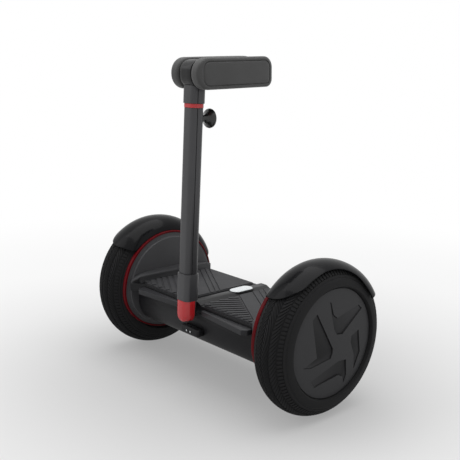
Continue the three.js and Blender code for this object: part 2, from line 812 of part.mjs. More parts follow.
/** The lid of the body, with a recess for each mat and for the spine between them. */
function upperDeckBody() {
  const flare = prism(deckOutline(), "z", deckBottom, deckPlateTop + cheekRise);
  const plate = prism(deckOutline(), "z", deckBottom, deckPlateTop)
    .add(joined(cheekBodies()).intersect(flare));
  const recess = solid(new THREE.ExtrudeGeometry(matOutline(fitGap), {
    depth: cutOverrun + recessDepth, bevelEnabled: false, curveSegments: cornerSteps,
  }).translate(0, 0, deckFloor));
  const mirrored = solid(geometryOf(recess, true));
  const spineHalf = spineWidth / 2 - fitGap - shellWall;
  const spine = box([-spineHalf, spineHalf], [-bodyFront - cutOverrun, bodyRear + cutOverrun],
    [deckPlateTop - spineDepth, deckPlateTop + cutOverrun]);
  const lightSeat = prism(lightShape(fitGap), "z", deckUnderside + shellWall, deckPlateTop);
  const hollowHalf = bodyEndX - shellWall;
  const hollow = box([-hollowHalf, hollowHalf], [-bodyFront + shellWall, bodyRear - shellWall],
    [deckBottom - cutOverrun, deckUnderside]);
  return cutBy(plate, [recess, mirrored, spine, lightSeat, hollow, shaftHole(),
    ...endHoles(bodyEndX, shellWall, runningGap)]);
}

/** The status light's rounded outline, grown by a margin. */
function lightShape(margin) {
  const half = lightWidth / 2 + margin;
  return roundedShape([-half, half],
    [lightOffset - lightLength / 2 - margin, lightOffset + lightLength / 2 + margin], half);
}

/** The strip along the deck's middle, with the window of the status light. */
function spineCoverBody() {
  const half = spineWidth / 2 - 2 * fitGap - shellWall;
  const bottom = deckPlateTop - spineDepth + fitGap;
  const strip = box([-half, half], [-bodyFront, bodyRear], [bottom, bottom + spineCoverThickness]);
  const above = bottom + spineCoverThickness + cutOverrun;
  return cutBy(strip, [prism(lightShape(fitGap), "z", bottom - cutOverrun, above)]);
}

/** The white lens of the status light. */
function lightBody() {
  const top = deckPlateTop - spineDepth + fitGap + spineCoverThickness + lightRise;
  const bottom = top - lightThickness - spineCoverThickness;
  return prism(lightShape(0), "z", Math.max(bottom, deckUnderside + shellWall + fitGap), top);
}

/** A rubber foot mat with a chamfered top edge. */
function footMatBody() {
  const bottom = deckFloor + fitGap + sensorThickness + fitGap;
  const lower = prism(matOutline(0), "z", bottom, deckHeight - matEdgeChamfer);
  const rim = new THREE.ExtrudeGeometry(matOutline(-matEdgeChamfer), {
    depth: fitGap, steps: 1, bevelEnabled: true, bevelThickness: matEdgeChamfer, bevelSize: matEdgeChamfer,
    bevelSegments: 1, curveSegments: cornerSteps,
  });
  rim.translate(0, 0, deckHeight - matEdgeChamfer - fitGap);
  return lower.add(solid(rim));
}

/** The thin pressure sensor under a foot mat. */
function sensorBody() {
  return prism(matOutline(-sensorMargin), "z", deckFloor + fitGap, deckFloor + fitGap + sensorThickness);
}

/** The lip rail under the front edge of a mat, deeper toward the wheel. */
function frontRailBody() {
  const top = deckHeight - railDrop;
  const rear = -bodyFront - fitGap;
  const innerFront = rear - railInnerDepth;
  const outerFront = rear - railOuterDepth;
  const shape = new THREE.Shape();
  shape.moveTo(railInnerEnd, rear);
  shape.lineTo(railInnerEnd, innerFront + railCornerRadius);
  shape.quadraticCurveTo(railInnerEnd, innerFront, railInnerEnd + railCornerRadius, innerFront);
  shape.lineTo(railOuterEnd - railEndSlant, outerFront);
  shape.lineTo(railOuterEnd, outerFront + railEndSlant);
  shape.lineTo(railOuterEnd, rear);
  shape.closePath();
  const bar = prism(shape, "z", top - railHeight, top);
  const flare = prism(deckOutline(), "z", deckBottom - cutOverrun, deckPlateTop);
  const clearOfDeck = new THREE.Matrix4().makeTranslation(0, -fitGap, 0);
  return cutBy(bar, [solid(geometryOf(flare).applyMatrix4(clearOfDeck))]);
}

/** The tub's side profile in (Y, Z), drawn in by a margin. */
function shellProfile(margin) {
  const floor = shellBottom + margin;
  const curveTop = shellBottom + shellCurveHeight;
  const height = curveTop - floor;
  const front = -bodyFront + margin;
  const rear = bodyRear - margin;
  const frontCurve = shellFrontCurve - margin;
  const rearCurve = shellRearCurve - margin;
  const shape = new THREE.Shape();
  shape.moveTo(front, shellTop);
  shape.lineTo(front, curveTop);
  shape.absellipse(front + frontCurve, curveTop, frontCurve, height, Math.PI, 3 * Math.PI / 2);
  shape.absellipse(rear - rearCurve, curveTop, rearCurve, height, 3 * Math.PI / 2, 2 * Math.PI);
  shape.lineTo(rear, shellTop);
  shape.closePath();
  return shape;
}

/** The lower tub, open on top, with holes for the pivot, the rear fittings and the battery. */
function lowerShellBody() {
  const outer = prism(shellProfile(0), "x", -bodyEndX, bodyEndX, { steps: shellCurveSteps });
  const insideEnd = bodyEndX - shellWall;
  const inner = prism(shellProfile(shellWall), "x", -insideEnd, insideEnd, { steps: shellCurveSteps });
  const insideTop = box([-insideEnd, insideEnd], [-bodyFront + shellWall, bodyRear - shellWall],
    [shellBottom + shellCurveHeight, shellTop + cutOverrun]);
  const wallCut = [bodyRear - shellWall - cutOverrun, bodyRear + cutOverrun];
  return cutBy(outer, [
    inner,
    insideTop,
    shaftHole(),
    rod("y", socketRadius + fitGap, ...wallCut, { x: rearFittingSpread, z: rearFittingZ }),
    rod("y", buttonRadius + fitGap, ...wallCut, { x: -rearFittingSpread, z: rearFittingZ }),
    prism(batteryCoverOutline(fitGap), "z", shellBottom - cutOverrun, shellFloor + cutOverrun),
    ...endHoles(bodyEndX, shellWall, runningGap),
  ]);
}

/** The hole for the pivot shaft in the front wall. */
function shaftHole() {
  return rod("y", pivotShaftRadius + runningGap, -bodyFront - cutOverrun, -bodyFront + shellWall + cutOverrun,
    { z: pivotHeight });
}

/** Round holes for the two axles in the walls at both ends. */
function endHoles(endX, wall, gap) {
  return [-1, 1].map((sign) => {
    const [a, b] = [sign * (endX - wall - cutOverrun), sign * (endX + cutOverrun)];
    return rod("x", axleRadius + gap, Math.min(a, b), Math.max(a, b), { z: tyreRadius });
  });
}

function batteryCoverOutline(margin) {
  const halfLength = batteryLength / 2 + batteryCoverMargin + margin;
  const halfWidth = batteryWidth / 2 + batteryCoverMargin + margin;
  return roundedShape([-halfLength, halfLength], [batteryOffset - halfWidth, batteryOffset + halfWidth],
    batteryCorner);
}

/** The two tongues on the battery cover's front edge, grown by a margin. */
function coverTongues(margin) {
  const edge = batteryOffset - batteryWidth / 2 - batteryCoverMargin;
  const root = edge + batteryCoverMargin - batteryClearance - fitGap;
  const top = frameBottom + tongueThickness + margin;
  return [-1, 1].map((sign) => {
    const middle = sign * batteryLength / 4;
    const across = [middle - tongueWidth / 2 - margin, middle + tongueWidth / 2 + margin];
    return joined([
      box(across, [edge - tongueReach - margin, root + margin], [frameBottom - margin, top]),
      box(across, [edge, root + margin], [batteryCoverTop - fitGap, top]),
    ]);
  });
}

/** The lid under the battery: tongues in front, and a screw seat behind. */
function batteryCoverBody() {
  const lid = prism(batteryCoverOutline(0), "z", shellBottom, batteryCoverTop);
  const shank = coverScrewRadius / 2 + fitGap;
  return cutBy(joined([lid, ...coverTongues(0)]), [
    rod("z", coverScrewRadius + fitGap, shellBottom - cutOverrun, shellBottom + coverScrewHead + fitGap,
      coverScrewPlace),
    rod("z", shank, shellBottom, batteryCoverTop + cutOverrun, coverScrewPlace),
  ]);
}

/** The battery cover's screw, its head flush with the lid. */
function coverScrewBody() {
  return joined([
    rod("z", coverScrewRadius, shellBottom, shellBottom + coverScrewHead, coverScrewPlace),
    rod("z", coverScrewRadius / 2, shellBottom + coverScrewHead / 2, shellBottom + coverScrewLength,
      coverScrewPlace),
  ]);
}

/** The four posts on the chassis floor that carry the control board. */
function boardPosts() {
  const x = boardLength / 2 - standoffInset;
  const y = boardWidth / 2 + batteryClearance - standoffInset + standoffRadius;
  const top = batteryBottom + batteryHeight + boardStandoff - fitGap;
  return [-x, x].flatMap((along) => [-y, y].map((across) =>
    rod("z", standoffRadius, frameFloorTop - fitGap, top, { x: along, y: batteryOffset + across })));
}

/** The two blocks at the chassis ends that hold the axles. */
function axleBlocks() {
  const outer = frameEndX - frameWall / 2;
  const inner = outer - axleBlockWidth;
  const depth = [-axleBlockDepth / 2, axleBlockDepth / 2];
  const height = [frameFloorTop - fitGap, axleBlockTop];
  return [box([inner, outer], depth, height), box([-outer, -inner], depth, height)];
}

/** The chassis casting: a tray with a window for the battery, axle blocks and board posts. */
function mainFrameBody() {
  const top = frameBottom + frameHeight;
  const tray = box([-frameEndX, frameEndX], [-frameFront, frameRear], [frameBottom, top]);
  const halfLength = batteryLength / 2 + batteryClearance;
  const halfWidth = batteryWidth / 2 + batteryClearance;
  const screwHole = coverScrewRadius / 2 + fitGap;
  const inside = frameEndX - frameWall;
  const hollow = box([-inside, inside], [-frameFront + frameWall, frameRear - frameWall],
    [frameFloorTop, top + cutOverrun]);
  return cutBy(joined([tray.subtract(hollow), ...boardPosts(), ...axleBlocks()]), [
    box([-halfLength, halfLength], [batteryOffset - halfWidth, batteryOffset + halfWidth],
      [frameBottom - cutOverrun, frameFloorTop + cutOverrun]),
    box([-frontGapHalf, frontGapHalf], [-frameFront - cutOverrun, -frameFront + frameWall + cutOverrun],
      [frameFloorTop, top + cutOverrun]),
    ...endHoles(frameEndX, frameWall + axleBlockWidth, fitGap),
    ...coverTongues(fitGap),
    rod("z", screwHole, frameBottom - cutOverrun, frameFloorTop + cutOverrun, coverScrewPlace),
  ]);
}

function batteryBody() {
  const half = batteryLength / 2;
  return prism(roundedShape([batteryOffset - batteryWidth / 2, batteryOffset + batteryWidth / 2],
    [batteryBottom, batteryBottom + batteryHeight], batteryCorner), "x", -half, half);
}

/** The control board with its larger components. */
function controlBoardBody() {
  const bottom = batteryBottom + batteryHeight + boardStandoff;
  const chipY = [batteryOffset - chipWidth / 2, batteryOffset + chipWidth / 2];
  const chipZ = [bottom + boardThickness / 2, bottom + boardThickness + chipHeight];
  const chips = [-1, 0, 1].map((place) =>
    box([place * chipSpacing - chipLength / 2, place * chipSpacing + chipLength / 2], chipY, chipZ));
  return joined([
    box([-boardLength / 2, boardLength / 2], [batteryOffset - boardWidth / 2, batteryOffset + boardWidth / 2],
      [bottom, bottom + boardThickness]),
    ...chips,
  ]);
}

/** The charging socket: a sleeve in the rear wall with its pin. */
function chargePortBody() {
  const place = { x: rearFittingSpread, z: rearFittingZ };
  const start = bodyRear - socketDepth;
  return joined([
    tube("y", socketRadius, socketBore, start, bodyRear, place),
    rod("y", socketRadius, start - shellWall, start, place),
    rod("y", socketPinRadius, start - shellWall, bodyRear - shellWall, place),
  ]);
}

/** The rubber cap over the charging socket, with its hinge strip below. */
function chargeCapBody() {
  const place = { x: rearFittingSpread, z: rearFittingZ };
  const start = bodyRear + fitGap;
  const bottom = rearFittingZ - capRadius - capHingeDrop;
  return joined([
    rod("y", capRadius, start, start + capThickness, place),
    box([rearFittingSpread - capHingeWidth / 2, rearFittingSpread + capHingeWidth / 2],
      [start, start + capThickness], [bottom, rearFittingZ]),
  ]);
}

/** The power button in the rear wall, with the collar that keeps it in. */
function powerButtonBody() {
  const place = { x: -rearFittingSpread, z: rearFittingZ };
  const end = bodyRear + buttonRise;
  const collarEnd = bodyRear - shellWall - fitGap;
  return joined([
    rod("y", buttonRadius, end - buttonLength, end, place),
    rod("y", buttonRadius + buttonCollar, collarEnd - buttonCollar, collarEnd, place),
  ]);
}

// Pivot of the steering bar

/** The housing that carries the pivot shaft, on a pedestal from the chassis floor. */
function pivotHousingBody() {
  const half = housingWidth / 2;
  const bottom = pivotHeight - pivotBearingRadius - housingWall;
  const top = deckUnderside - fitGap;
  const bore = pivotBearingRadius + fitGap;
  return cutBy(joined([
    box([-half, half], [-housingFront, -housingRear], [bottom, top]),
    box([-half, half], [-housingRear - pedestalDepth, -housingRear],
      [frameFloorTop + fitGap, bottom + housingWall]),
  ]), [
    rod("y", bore, -housingFront - cutOverrun, -housingRear - bushLength - housingWall, { z: pivotHeight }),
    rod("y", pivotShaftRadius + runningGap, -housingFront, -housingRear + cutOverrun, { z: pivotHeight }),
    rod("y", bore, -housingRear - bushLength, -housingRear + cutOverrun, { z: pivotHeight }),
  ]);
}

/** A bearing of the pivot shaft that starts at a place along it. */
function pivotBearingBody(start) {
  return tube("y", pivotBearingRadius, pivotShaftRadius + fitGap, start, start + pivotBearingWidth,
    { z: pivotHeight });
}

/** The rubber bush that brings the bar back upright. */
function returnBushBody() {
  const from = -housingRear - bushLength + fitGap;
  return tube("y", pivotBearingRadius, pivotShaftRadius + fitGap, from, -housingRear, { z: pivotHeight });
}

/** The small cover under the stem, on the front of the tub. */
function pivotCoverBody() {
  const half = pivotCoverWidth / 2;
  const top = pivotCoverBottom + pivotCoverHeight;
  const front = -bodyFront - pivotCoverReach;
  const block = prism(roundedShape([-half, half], [front, front + 3 * pivotCoverReach],
    [pivotCoverCorner, pivotCoverCorner, fitGap, fitGap]), "z", pivotCoverBottom, top);
  const tub = prism(shellProfile(-fitGap), "x", -bodyEndX, bodyEndX, { steps: shellCurveSteps });
  return block.subtract(tub);
}

/** A small screw in the front of the pivot cover, on one side of its middle. */
function pivotScrewBody(sign) {
  const front = -bodyFront - pivotCoverReach;
  const place = { x: sign * pivotScrewSpacing / 2, z: pivotCoverBottom + pivotCoverHeight / 2 };
  return rod("y", pivotScrewRadius, front - fitGap - pivotScrewHead, front - fitGap, place);
}

// Steering bar, drawn upright about its pivot with Z along the pole

/** The pole's rounded section, grown by a margin, with a fine groove near each front corner if asked. */
function poleSection(width, depth, grooved = false) {
  const corner = Math.min(poleCorner, width / 2 - fitGap, depth / 2 - fitGap);
  const shape = roundedShape([-width / 2, width / 2], [-depth / 2, depth / 2], corner);
  if (!grooved) return shape;
  const y = -depth / 2 + corner;
  const groove = (sign) => [
    new THREE.Vector2(sign * width / 2, y - sign * poleGrooveWidth / 2),
    new THREE.Vector2(sign * (width / 2 - poleGrooveDepth), y),
    new THREE.Vector2(sign * width / 2, y + sign * poleGrooveWidth / 2),
  ];
  const isGroovePlace = (point) => Math.abs(Math.abs(point.x) - width / 2) < weldDistance
    && Math.abs(point.y - y) < weldDistance;
  const rim = [];
  distinctPoints(shape).forEach((point) => {
    if (isGroovePlace(point)) rim.push(...groove(Math.sign(point.x)));
    else rim.push(point);
  });
  return new THREE.Shape(rim);
}

/** The points of a closed shape, each once. */
function distinctPoints(shape) {
  const points = shape.getPoints(cornerSteps);
  const open = points.filter((point, i) => i === 0 || point.distanceTo(points[i - 1]) > weldDistance);
  if (open[0].distanceTo(open[open.length - 1]) < weldDistance) open.pop();
  return open;
}

/** The lower stem: holds the pole on a spigot and the pivot shaft in a blind bore. */
function stemBody() {
  const body = prism(poleSection(stemWidth, stemDepth), "z", -stemBottom, stemTop);
  const spigot = prism(poleSection(tubeBoreWidth - 2 * fitGap, tubeBoreDepth - 2 * fitGap), "z",
    stemTop - cutOverrun, stemTop + spigotLength);
  const capRoom = box([-stemWidth, stemWidth], [-stemDepth, -stemDepth / 2 + capDepth + fitGap],
    [-stemBottom - cutOverrun, capTop + fitGap]);
  return cutBy(body.add(spigot), [
    capRoom,
    pivotShaftCutter(),
    tongueCutter(0),
  ]);
}

/** The room of the pivot shaft in the stem, level while the stem leans. */
function pivotShaftCutter() {
  const circle = new THREE.Shape();
  circle.absarc(0, 0, pivotShaftRadius + fitGap, 0, 2 * Math.PI);
  const geometry = new THREE.ExtrudeGeometry(circle, {
    depth: stemDepth + cutOverrun, bevelEnabled: false, curveSegments: shaftSteps / 2,
  });
  geometry.translate(0, 0, shaftInset - fitGap);
  geometry.applyMatrix4(turnTo.y);
  geometry.rotateX(lean);
  return solid(geometry);
}

/** What lies below the stem's round tongue, seen from the front. */
function tongueCutter(drop) {
  const bottom = -stemBottom - drop;
  const half = stemWidth / 2 + capProud;
  const keep = prism(roundedShape([bottom, bottom + stemTop], [-half, half],
    [capTongueRadius, fitGap, fitGap, capTongueRadius]), "y", -stemDepth, stemDepth);
  const all = box([-stemWidth, stemWidth], [-stemDepth + fitGap, stemDepth - fitGap],
    [bottom - cutOverrun, bottom + capTongueRadius]);
  return all.subtract(keep);
}

/** The red cap over the stem's lower front. */
function stemCapBody() {
  const outer = prism(poleSection(stemWidth + 2 * capProud, stemDepth + 2 * capProud), "z",
    -stemBottom - capBottomDrop, capTop);
  const front = box([-stemWidth, stemWidth], [-stemDepth, -stemDepth / 2 + capDepth],
    [-stemBottom - capBottomDrop, capTop]);
  return outer.intersect(front).subtract(tongueCutter(capBottomDrop));
}

/** The pole's outer tube with the boss of the clamp knob behind. */
function poleTubeBody() {
  const boreShape = poleSection(tubeBoreWidth, tubeBoreDepth);
  const bore = prism(boreShape, "z", poleBottom - cutOverrun, poleTop + cutOverrun);
  const rear = poleDepth / 2;
  return cutBy(joined([
    prism(poleSection(poleWidth, poleDepth, true), "z", poleBottom, poleTop),
    rod("y", clampBossRadius, rear - poleWall / 2, rear + clampBossHeight, { z: knobHeight }),
  ]), [
    bore,
    rod("y", studRadius + fitGap, 0, rear + clampBossHeight + cutOverrun, { z: knobHeight }),
  ]);
}

/** The red band on the top of the pole's outer tube. */
function poleBandBody() {
  const start = poleTop + fitGap;
  const outer = prism(poleSection(poleWidth + 2 * bandProud, poleDepth + 2 * bandProud), "z", start, bandTop);
  return outer.subtract(prism(poleSection(tubeBoreWidth, tubeBoreDepth), "z", start - cutOverrun,
    bandTop + cutOverrun));
}

/** The clamp knob with its stud, behind the pole. */
function knobBody() {
  const seat = poleDepth / 2 + clampBossHeight + fitGap;
  const rim = poleDepth / 2 + knobReach;
  const end = rim + knobThickness;
  const tip = innerTubeDepth / 2 + fitGap;
  const body = turnedAboutY([
    [tip, 0],
    [tip, studRadius],
    [seat, studRadius],
    [seat, knobNeckRadius],
    [(seat + rim) / 2, knobNeckRadius],
    [rim, knobRadius * Math.SQRT1_2 + knobNeckRadius / 4],
    [(rim + end) / 2, knobRadius],
    [end - knobThickness / 5, knobRadius - knobThickness / 5],
    [end, knobRadius / 2],
    [end, 0],
  ]);
  return body;
}

/** The inner tube of the telescopic pole. */
function innerTubeBody() {
  const outer = prism(poleSection(innerTubeWidth, innerTubeDepth), "z", innerTubeBottom, collarTop);
  return outer.subtract(prism(poleSection(innerTubeWidth - 2 * poleWall, innerTubeDepth - 2 * poleWall), "z",
    innerTubeBottom - cutOverrun, collarTop + cutOverrun));
}

/** The collar that carries the head on the inner tube. */
function collarBody() {
  const outer = prism(poleSection(collarWidth, collarDepth), "z", collarBottom, collarTop);
  const bore = prism(poleSection(innerTubeWidth + 2 * fitGap, innerTubeDepth + 2 * fitGap), "z",
    collarBottom - cutOverrun, collarTop + cutOverrun);
  return outer.subtract(bore).subtract(headRoom());
}

/** The head's own placing, in the steering bar's group. */
function headMatrix() {
  const turn = lean + THREE.MathUtils.degToRad(headTilt);
  const tilted = new THREE.Matrix4().makeRotationX(turn);
  return new THREE.Matrix4().makeTranslation(0, 0, headHeight).multiply(tilted);
}

/** The head core's side outline in (Y, Z), grown by a margin. */
function headOutline(margin) {
  return roundedShape([-headFront - margin, -headFront + headCoreLength + margin],
    [-headCoreHeight / 2 - margin, headCoreHeight / 2 + margin],
    [headFrontRadius, headRearRadius, headRearRadius, headFrontRadius]);
}

/** The room that the head core and the knee pads take out of the collar. */
function headRoom() {
  const half = headCoreWidth / 2;
  const padHalf = padHeight / 2 + fitGap;
  const pads = box([half, collarWidth], [-padFront - fitGap, padLength], [-padHalf, padHalf]);
  const room = joined([
    prism(headOutline(fitGap), "x", -collarWidth, collarWidth),
    pads,
    solid(geometryOf(pads, true)),
  ]);
  return solid(geometryOf(room).applyMatrix4(headMatrix()));
}

/** The rigid head between the knee pads, with a socket for the inner tube. */
function headCoreBody() {
  const half = headCoreWidth / 2;
  const core = prism(headOutline(0), "x", -half, half);
  const socket = prism(poleSection(innerTubeWidth + 2 * fitGap, innerTubeDepth + 2 * fitGap), "z",
    collarBottom, collarTop + fitGap);
  const toHead = headMatrix().invert();
  return core.subtract(solid(geometryOf(socket).applyMatrix4(toHead)));
}

/** A knee pad on the +X side: flat inside, crowned outside, its sides drawn in and its rear rounded off. */
function kneePadBody() {
  const start = headCoreWidth / 2 + fitGap;
  const roundingSteps = [0, 1, 2, 3];
  const rings = [{ x: start, inset: padEdgeRadius / 3 }, { x: start + padEdgeRadius / 3, inset: 0 }];
  const edgeStart = start + padThickness - padEdgeRadius - padCrown;
  roundingSteps.forEach((step) => {
    const angle = step / (roundingSteps.length - 1) * Math.PI / 2;
    rings.push({
      x: edgeStart + padEdgeRadius * Math.sin(angle),
      inset: padEdgeRadius * (1 - Math.cos(angle)),
    });
  });
  const middle = { x: start + padThickness, inset: padHeight / 2 - padEdgeRadius };
  rings.push(middle);
  const grid = rings.map(({ x, inset }) => padRing(x, inset, start));
  return cappedRings(grid);
}

/** One ring of the knee pad's outline, drawn in and, toward the outside, shortened at the rear. */
function padRing(x, inset, start) {
  const reach = (x - start) / padThickness;
  const rear = -padFront + padLength - inset - padRearTaper * reach * reach;
  const front = -padFront + inset;
  const half = padHeight / 2 - inset;
  const least = padEdgeRadius / 3;
  const radius = (value) => Math.max(Math.min(value - inset, half - fitGap), least);
  const shape = roundedShape([front, rear], [-half, half],
    [radius(padFrontRadius), radius(padRearRadius), radius(padTopRearRadius), radius(padFrontRadius)]);
  return distinctPoints(shape).map((point) => [x, point.x, point.y]);
}

/** A closed body of rings of equal counts, with flat ends. */
function cappedRings(rings) {
  const count = rings[0].length;
  const position = rings.flat(2);
  const middleOf = (ring) => ring[0].map((_, k) => ring.reduce((sum, point) => sum + point[k], 0) / count);
  const first = rings.length * count;
  position.push(...middleOf(rings[0]), ...middleOf(rings[rings.length - 1]));
  const index = [];
  for (let j = 0; j < count; j += 1) {
    const next = (j + 1) % count;
    for (let i = 0; i + 1 < rings.length; i += 1) {
      const [a, b] = [i * count, (i + 1) * count];
      index.push(a + j, a + next, b + next, a + j, b + next, b + j);
    }
    index.push(first, next, j);
    index.push(first + 1, (rings.length - 1) * count + j, (rings.length - 1) * count + next);
  }
  const geometry = new THREE.BufferGeometry();
  geometry.setAttribute("position", new THREE.Float32BufferAttribute(position, 3));
  geometry.setIndex(index);
  return solid(geometry);
}

/** The steering bar with its telescopic pole and its head, leaning back about the pivot. */
function steeringGroup() {
  const group = new THREE.Group();
  group.position.set(0, -pivotFront, pivotHeight);
  group.rotation.x = -lean;
  group.add(piece("steering_stem", stemBody(), "pole"));
  group.add(piece("stem_cap", stemCapBody(), "red"));
  group.add(piece("pole_tube", poleTubeBody(), "pole"));
  group.add(piece("pole_band", poleBandBody(), "red"));
  group.add(piece("clamp_knob", knobBody(), "gloss", { z: knobHeight }));
  group.add(piece("inner_tube", innerTubeBody(), "aluminium"));
  group.add(piece("head_collar", collarBody(), "pole"));
  const head = new THREE.Group();
  head.applyMatrix4(headMatrix());
  head.add(piece("head_core", headCoreBody(), "gloss"));
  head.add(piece("right_knee_pad", kneePadBody(), "pad"));
  head.add(piece("left_knee_pad", kneePadBody(), "pad", { mirror: true }));
  group.add(head);
  return group;
}

/** The shaft that the bar leans about, level and fixed in the stem. */
function pivotShaftBody() {
  const start = shaftInset - pivotFront;
  return rod("y", pivotShaftRadius, start, start + pivotShaftLength, { z: pivotHeight });
}

/** The body between the wheels, with what it holds. */
function bodyGroup() {
  const group = new THREE.Group();
  group.add(piece("main_frame", mainFrameBody(), "aluminium"));
  group.add(piece("lower_shell", lowerShellBody(), "shell"));
  group.add(piece("battery_cover", batteryCoverBody(), "shell"));
  group.add(piece("battery_cover_screw", coverScrewBody(), "steel"));
  group.add(piece("battery_pack", batteryBody(), "battery"));
  group.add(piece("control_board", controlBoardBody(), "board"));
  group.add(piece("upper_deck", upperDeckBody(), "shell"));
  group.add(piece("spine_cover", spineCoverBody(), "cover"));
  group.add(piece("status_light", lightBody(), "light"));
  group.add(piece("pivot_housing", pivotHousingBody(), "aluminium"));
  group.add(piece("front_pivot_bearing", pivotBearingBody(-housingFront), "steel"));
  group.add(piece("rear_pivot_bearing", pivotBearingBody(rearBearingEnd - pivotBearingWidth), "steel"));
  group.add(piece("return_bush", returnBushBody(), "rubber"));
  group.add(piece("pivot_cover", pivotCoverBody(), "shell"));
  group.add(piece("left_cover_screw", pivotScrewBody(-1), "steel"));
  group.add(piece("right_cover_screw", pivotScrewBody(1), "steel"));
  group.add(piece("pivot_shaft", pivotShaftBody(), "steel"));
  group.add(piece("charge_port", chargePortBody(), "rubber"));
  group.add(piece("charge_cap", chargeCapBody(), "rubber"));
  group.add(piece("power_button", powerButtonBody(), "gloss"));
  return group;
}

const scooter = new THREE.Group();
scooter.add(bodyGroup());
scooter.add(steeringGroup());
for (const [side, mirror] of [["left", true], ["right", false]]) {
  scooter.add(piece(`${side}_foot_mat`, footMatBody(), "mat", { mirror }));
  scooter.add(piece(`${side}_pedal_sensor`, sensorBody(), "sensor", { mirror }));
  scooter.add(piece(`${side}_front_rail`, frontRailBody(), "shell", { mirror }));
  scooter.add(sideGroup(side, mirror));
  const wheel = wheelGroup(side);
  wheel.position.set(mirror ? -wheelX : wheelX, 0, tyreRadius);
  wheel.rotation.z = mirror ? Math.PI : 0;
  scooter.add(wheel);
}

export default scooter;
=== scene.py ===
"""Looks of a two-wheeled self-balancing scooter with a knee-steered bar, built round its CAD frame."""

import math
from contextlib import contextmanager

import bmesh
import bpy
import numpy as np
from bpy.props import FloatProperty, FloatVectorProperty, IntProperty, PointerProperty
from mathutils import Matrix, Vector
from mathutils.geometry import delaunay_2d_cdt
from mathutils.kdtree import KDTree


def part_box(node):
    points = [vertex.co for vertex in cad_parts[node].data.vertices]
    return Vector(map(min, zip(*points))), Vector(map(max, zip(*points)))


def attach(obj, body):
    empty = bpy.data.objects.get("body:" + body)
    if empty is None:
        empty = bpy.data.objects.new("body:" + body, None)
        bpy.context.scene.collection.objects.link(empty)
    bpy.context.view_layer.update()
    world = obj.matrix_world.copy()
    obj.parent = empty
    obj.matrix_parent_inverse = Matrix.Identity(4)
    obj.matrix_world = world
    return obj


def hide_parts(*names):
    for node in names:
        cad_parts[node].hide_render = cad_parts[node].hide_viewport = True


bl_info = {
    "name": "Knee-steered scooter",
    "version": (1, 0, 0),
    "blender": (4, 5, 0),
    "location": "View3D > Sidebar > Scooter",
    "description": "Builds the visible pieces, finishes and studio of a self-balancing scooter",
    "category": "Object",
}

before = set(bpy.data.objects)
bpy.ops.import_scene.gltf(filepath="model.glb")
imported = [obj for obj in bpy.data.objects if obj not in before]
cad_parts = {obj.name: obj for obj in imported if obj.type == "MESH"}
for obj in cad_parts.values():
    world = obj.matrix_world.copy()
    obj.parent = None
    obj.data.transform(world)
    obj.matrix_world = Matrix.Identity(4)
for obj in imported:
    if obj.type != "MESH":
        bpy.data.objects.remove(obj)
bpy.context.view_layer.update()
SIDES = {"left": -1, "right": 1}
MM = 0.001

# Places shared with the CAD source, in millimetres
WHEEL_X = 229.0
TYRE_RADIUS = 133.0
TYRE_HALF = 38.0
TYRE_SHOULDER = 35.0
HUB_RADIUS = 95.0
HUB_OUTER = 33.8
HUB_BACK = 29.3
HUB_GROOVE = 93.6
CHEEK_INNER = 164.0
DECK_TOP = 152.0
FLANK_RADIUS = 107.5
FLANK_OUTER = 188.3
FLANK_INNER = 176.3
MAT_TOP = 157.0
LEAN = math.radians(1.9)
PIVOT = (0.0, -100.0, 133.5)
STEM_TOP = 79.5
POLE_TOP = 372.8
COLLAR_BOTTOM = 380.4
HEAD_HEIGHT = 431.0
HEAD_TILT = math.radians(1.7)
KNOB_HEIGHT = 354.5
PAD_START = 17.3
PAD_THICKNESS = 23.0
CLEARANCE = 0.3

BAR_PLACE = Matrix.Translation(PIVOT) @ Matrix.Rotation(-LEAN, 4, "X")
HEAD_PLACE = (
    BAR_PLACE
    @ Matrix.Translation((0, 0, HEAD_HEIGHT))
    @ Matrix.Rotation(LEAN + HEAD_TILT, 4, "X")
)
KNOB_PLACE = Matrix.Translation((0, 0, KNOB_HEIGHT)) @ Matrix.Rotation(math.pi / 2, 4, "Z")


def tint(code):
    """A written colour, such as "4b4b4b", as Blender's linear values."""
    values = [int(code[i : i + 2], 16) / 255 for i in (0, 2, 4)]
    return tuple(v / 12.92 if v <= 0.04045 else ((v + 0.055) / 1.055) ** 2.4 for v in values)


def shade(colour, share):
    return tuple(min(1.0, c * share) for c in colour)


def colour_property(name, description, code):
    return FloatVectorProperty(
        name=name, description=description, subtype="COLOR", size=3, min=0, max=1, default=tint(code)
    )


def length_property(name, description, default):
    return FloatProperty(
        name=name, description=description, default=default, min=0, subtype="DISTANCE", unit="LENGTH"
    )


def angle_property(name, description, degrees):
    return FloatProperty(
        name=name, description=description, default=math.radians(degrees), subtype="ANGLE", unit="ROTATION"
    )


class ScooterColours(bpy.types.PropertyGroup):
    """Colours of the scooter's finishes."""

    rubber: colour_property("Tyre rubber", "Colour of the tyres", "161617")
    shell: colour_property("Body shell", "Colour of the deck and the tub", "1c1c1e")
    trim: colour_property("Flank", "Colour of the flanks and the cheeks", "404042")
    fender: colour_property("Fender", "Colour of the fenders", "0f0f11")
    hub: colour_property("Hub cover", "Colour of the wheel covers", "232325")
    mat: colour_property("Foot mat", "Colour of the foot mats", "363638")
    pad: colour_property("Knee pad", "Colour of the knee pads' skin", "3c3c3c")
    pole: colour_property("Pole", "Colour of the stem and the pole", "3a3a3c")
    gloss: colour_property("Gloss black", "Colour of the knob and the head's core", "141416")
    red: colour_property("Red trim", "Colour of the cap and the band", "b81f28")
    # The rings' red is darker than the cap's: partly their own darker red, partly painted shade from the
    # fenders over them
    ring: colour_property("Red rings", "Colour of the rings beside the wheels", "5c0a11")
    lens: colour_property("Light lens", "Colour of the status light", "c6cacc")


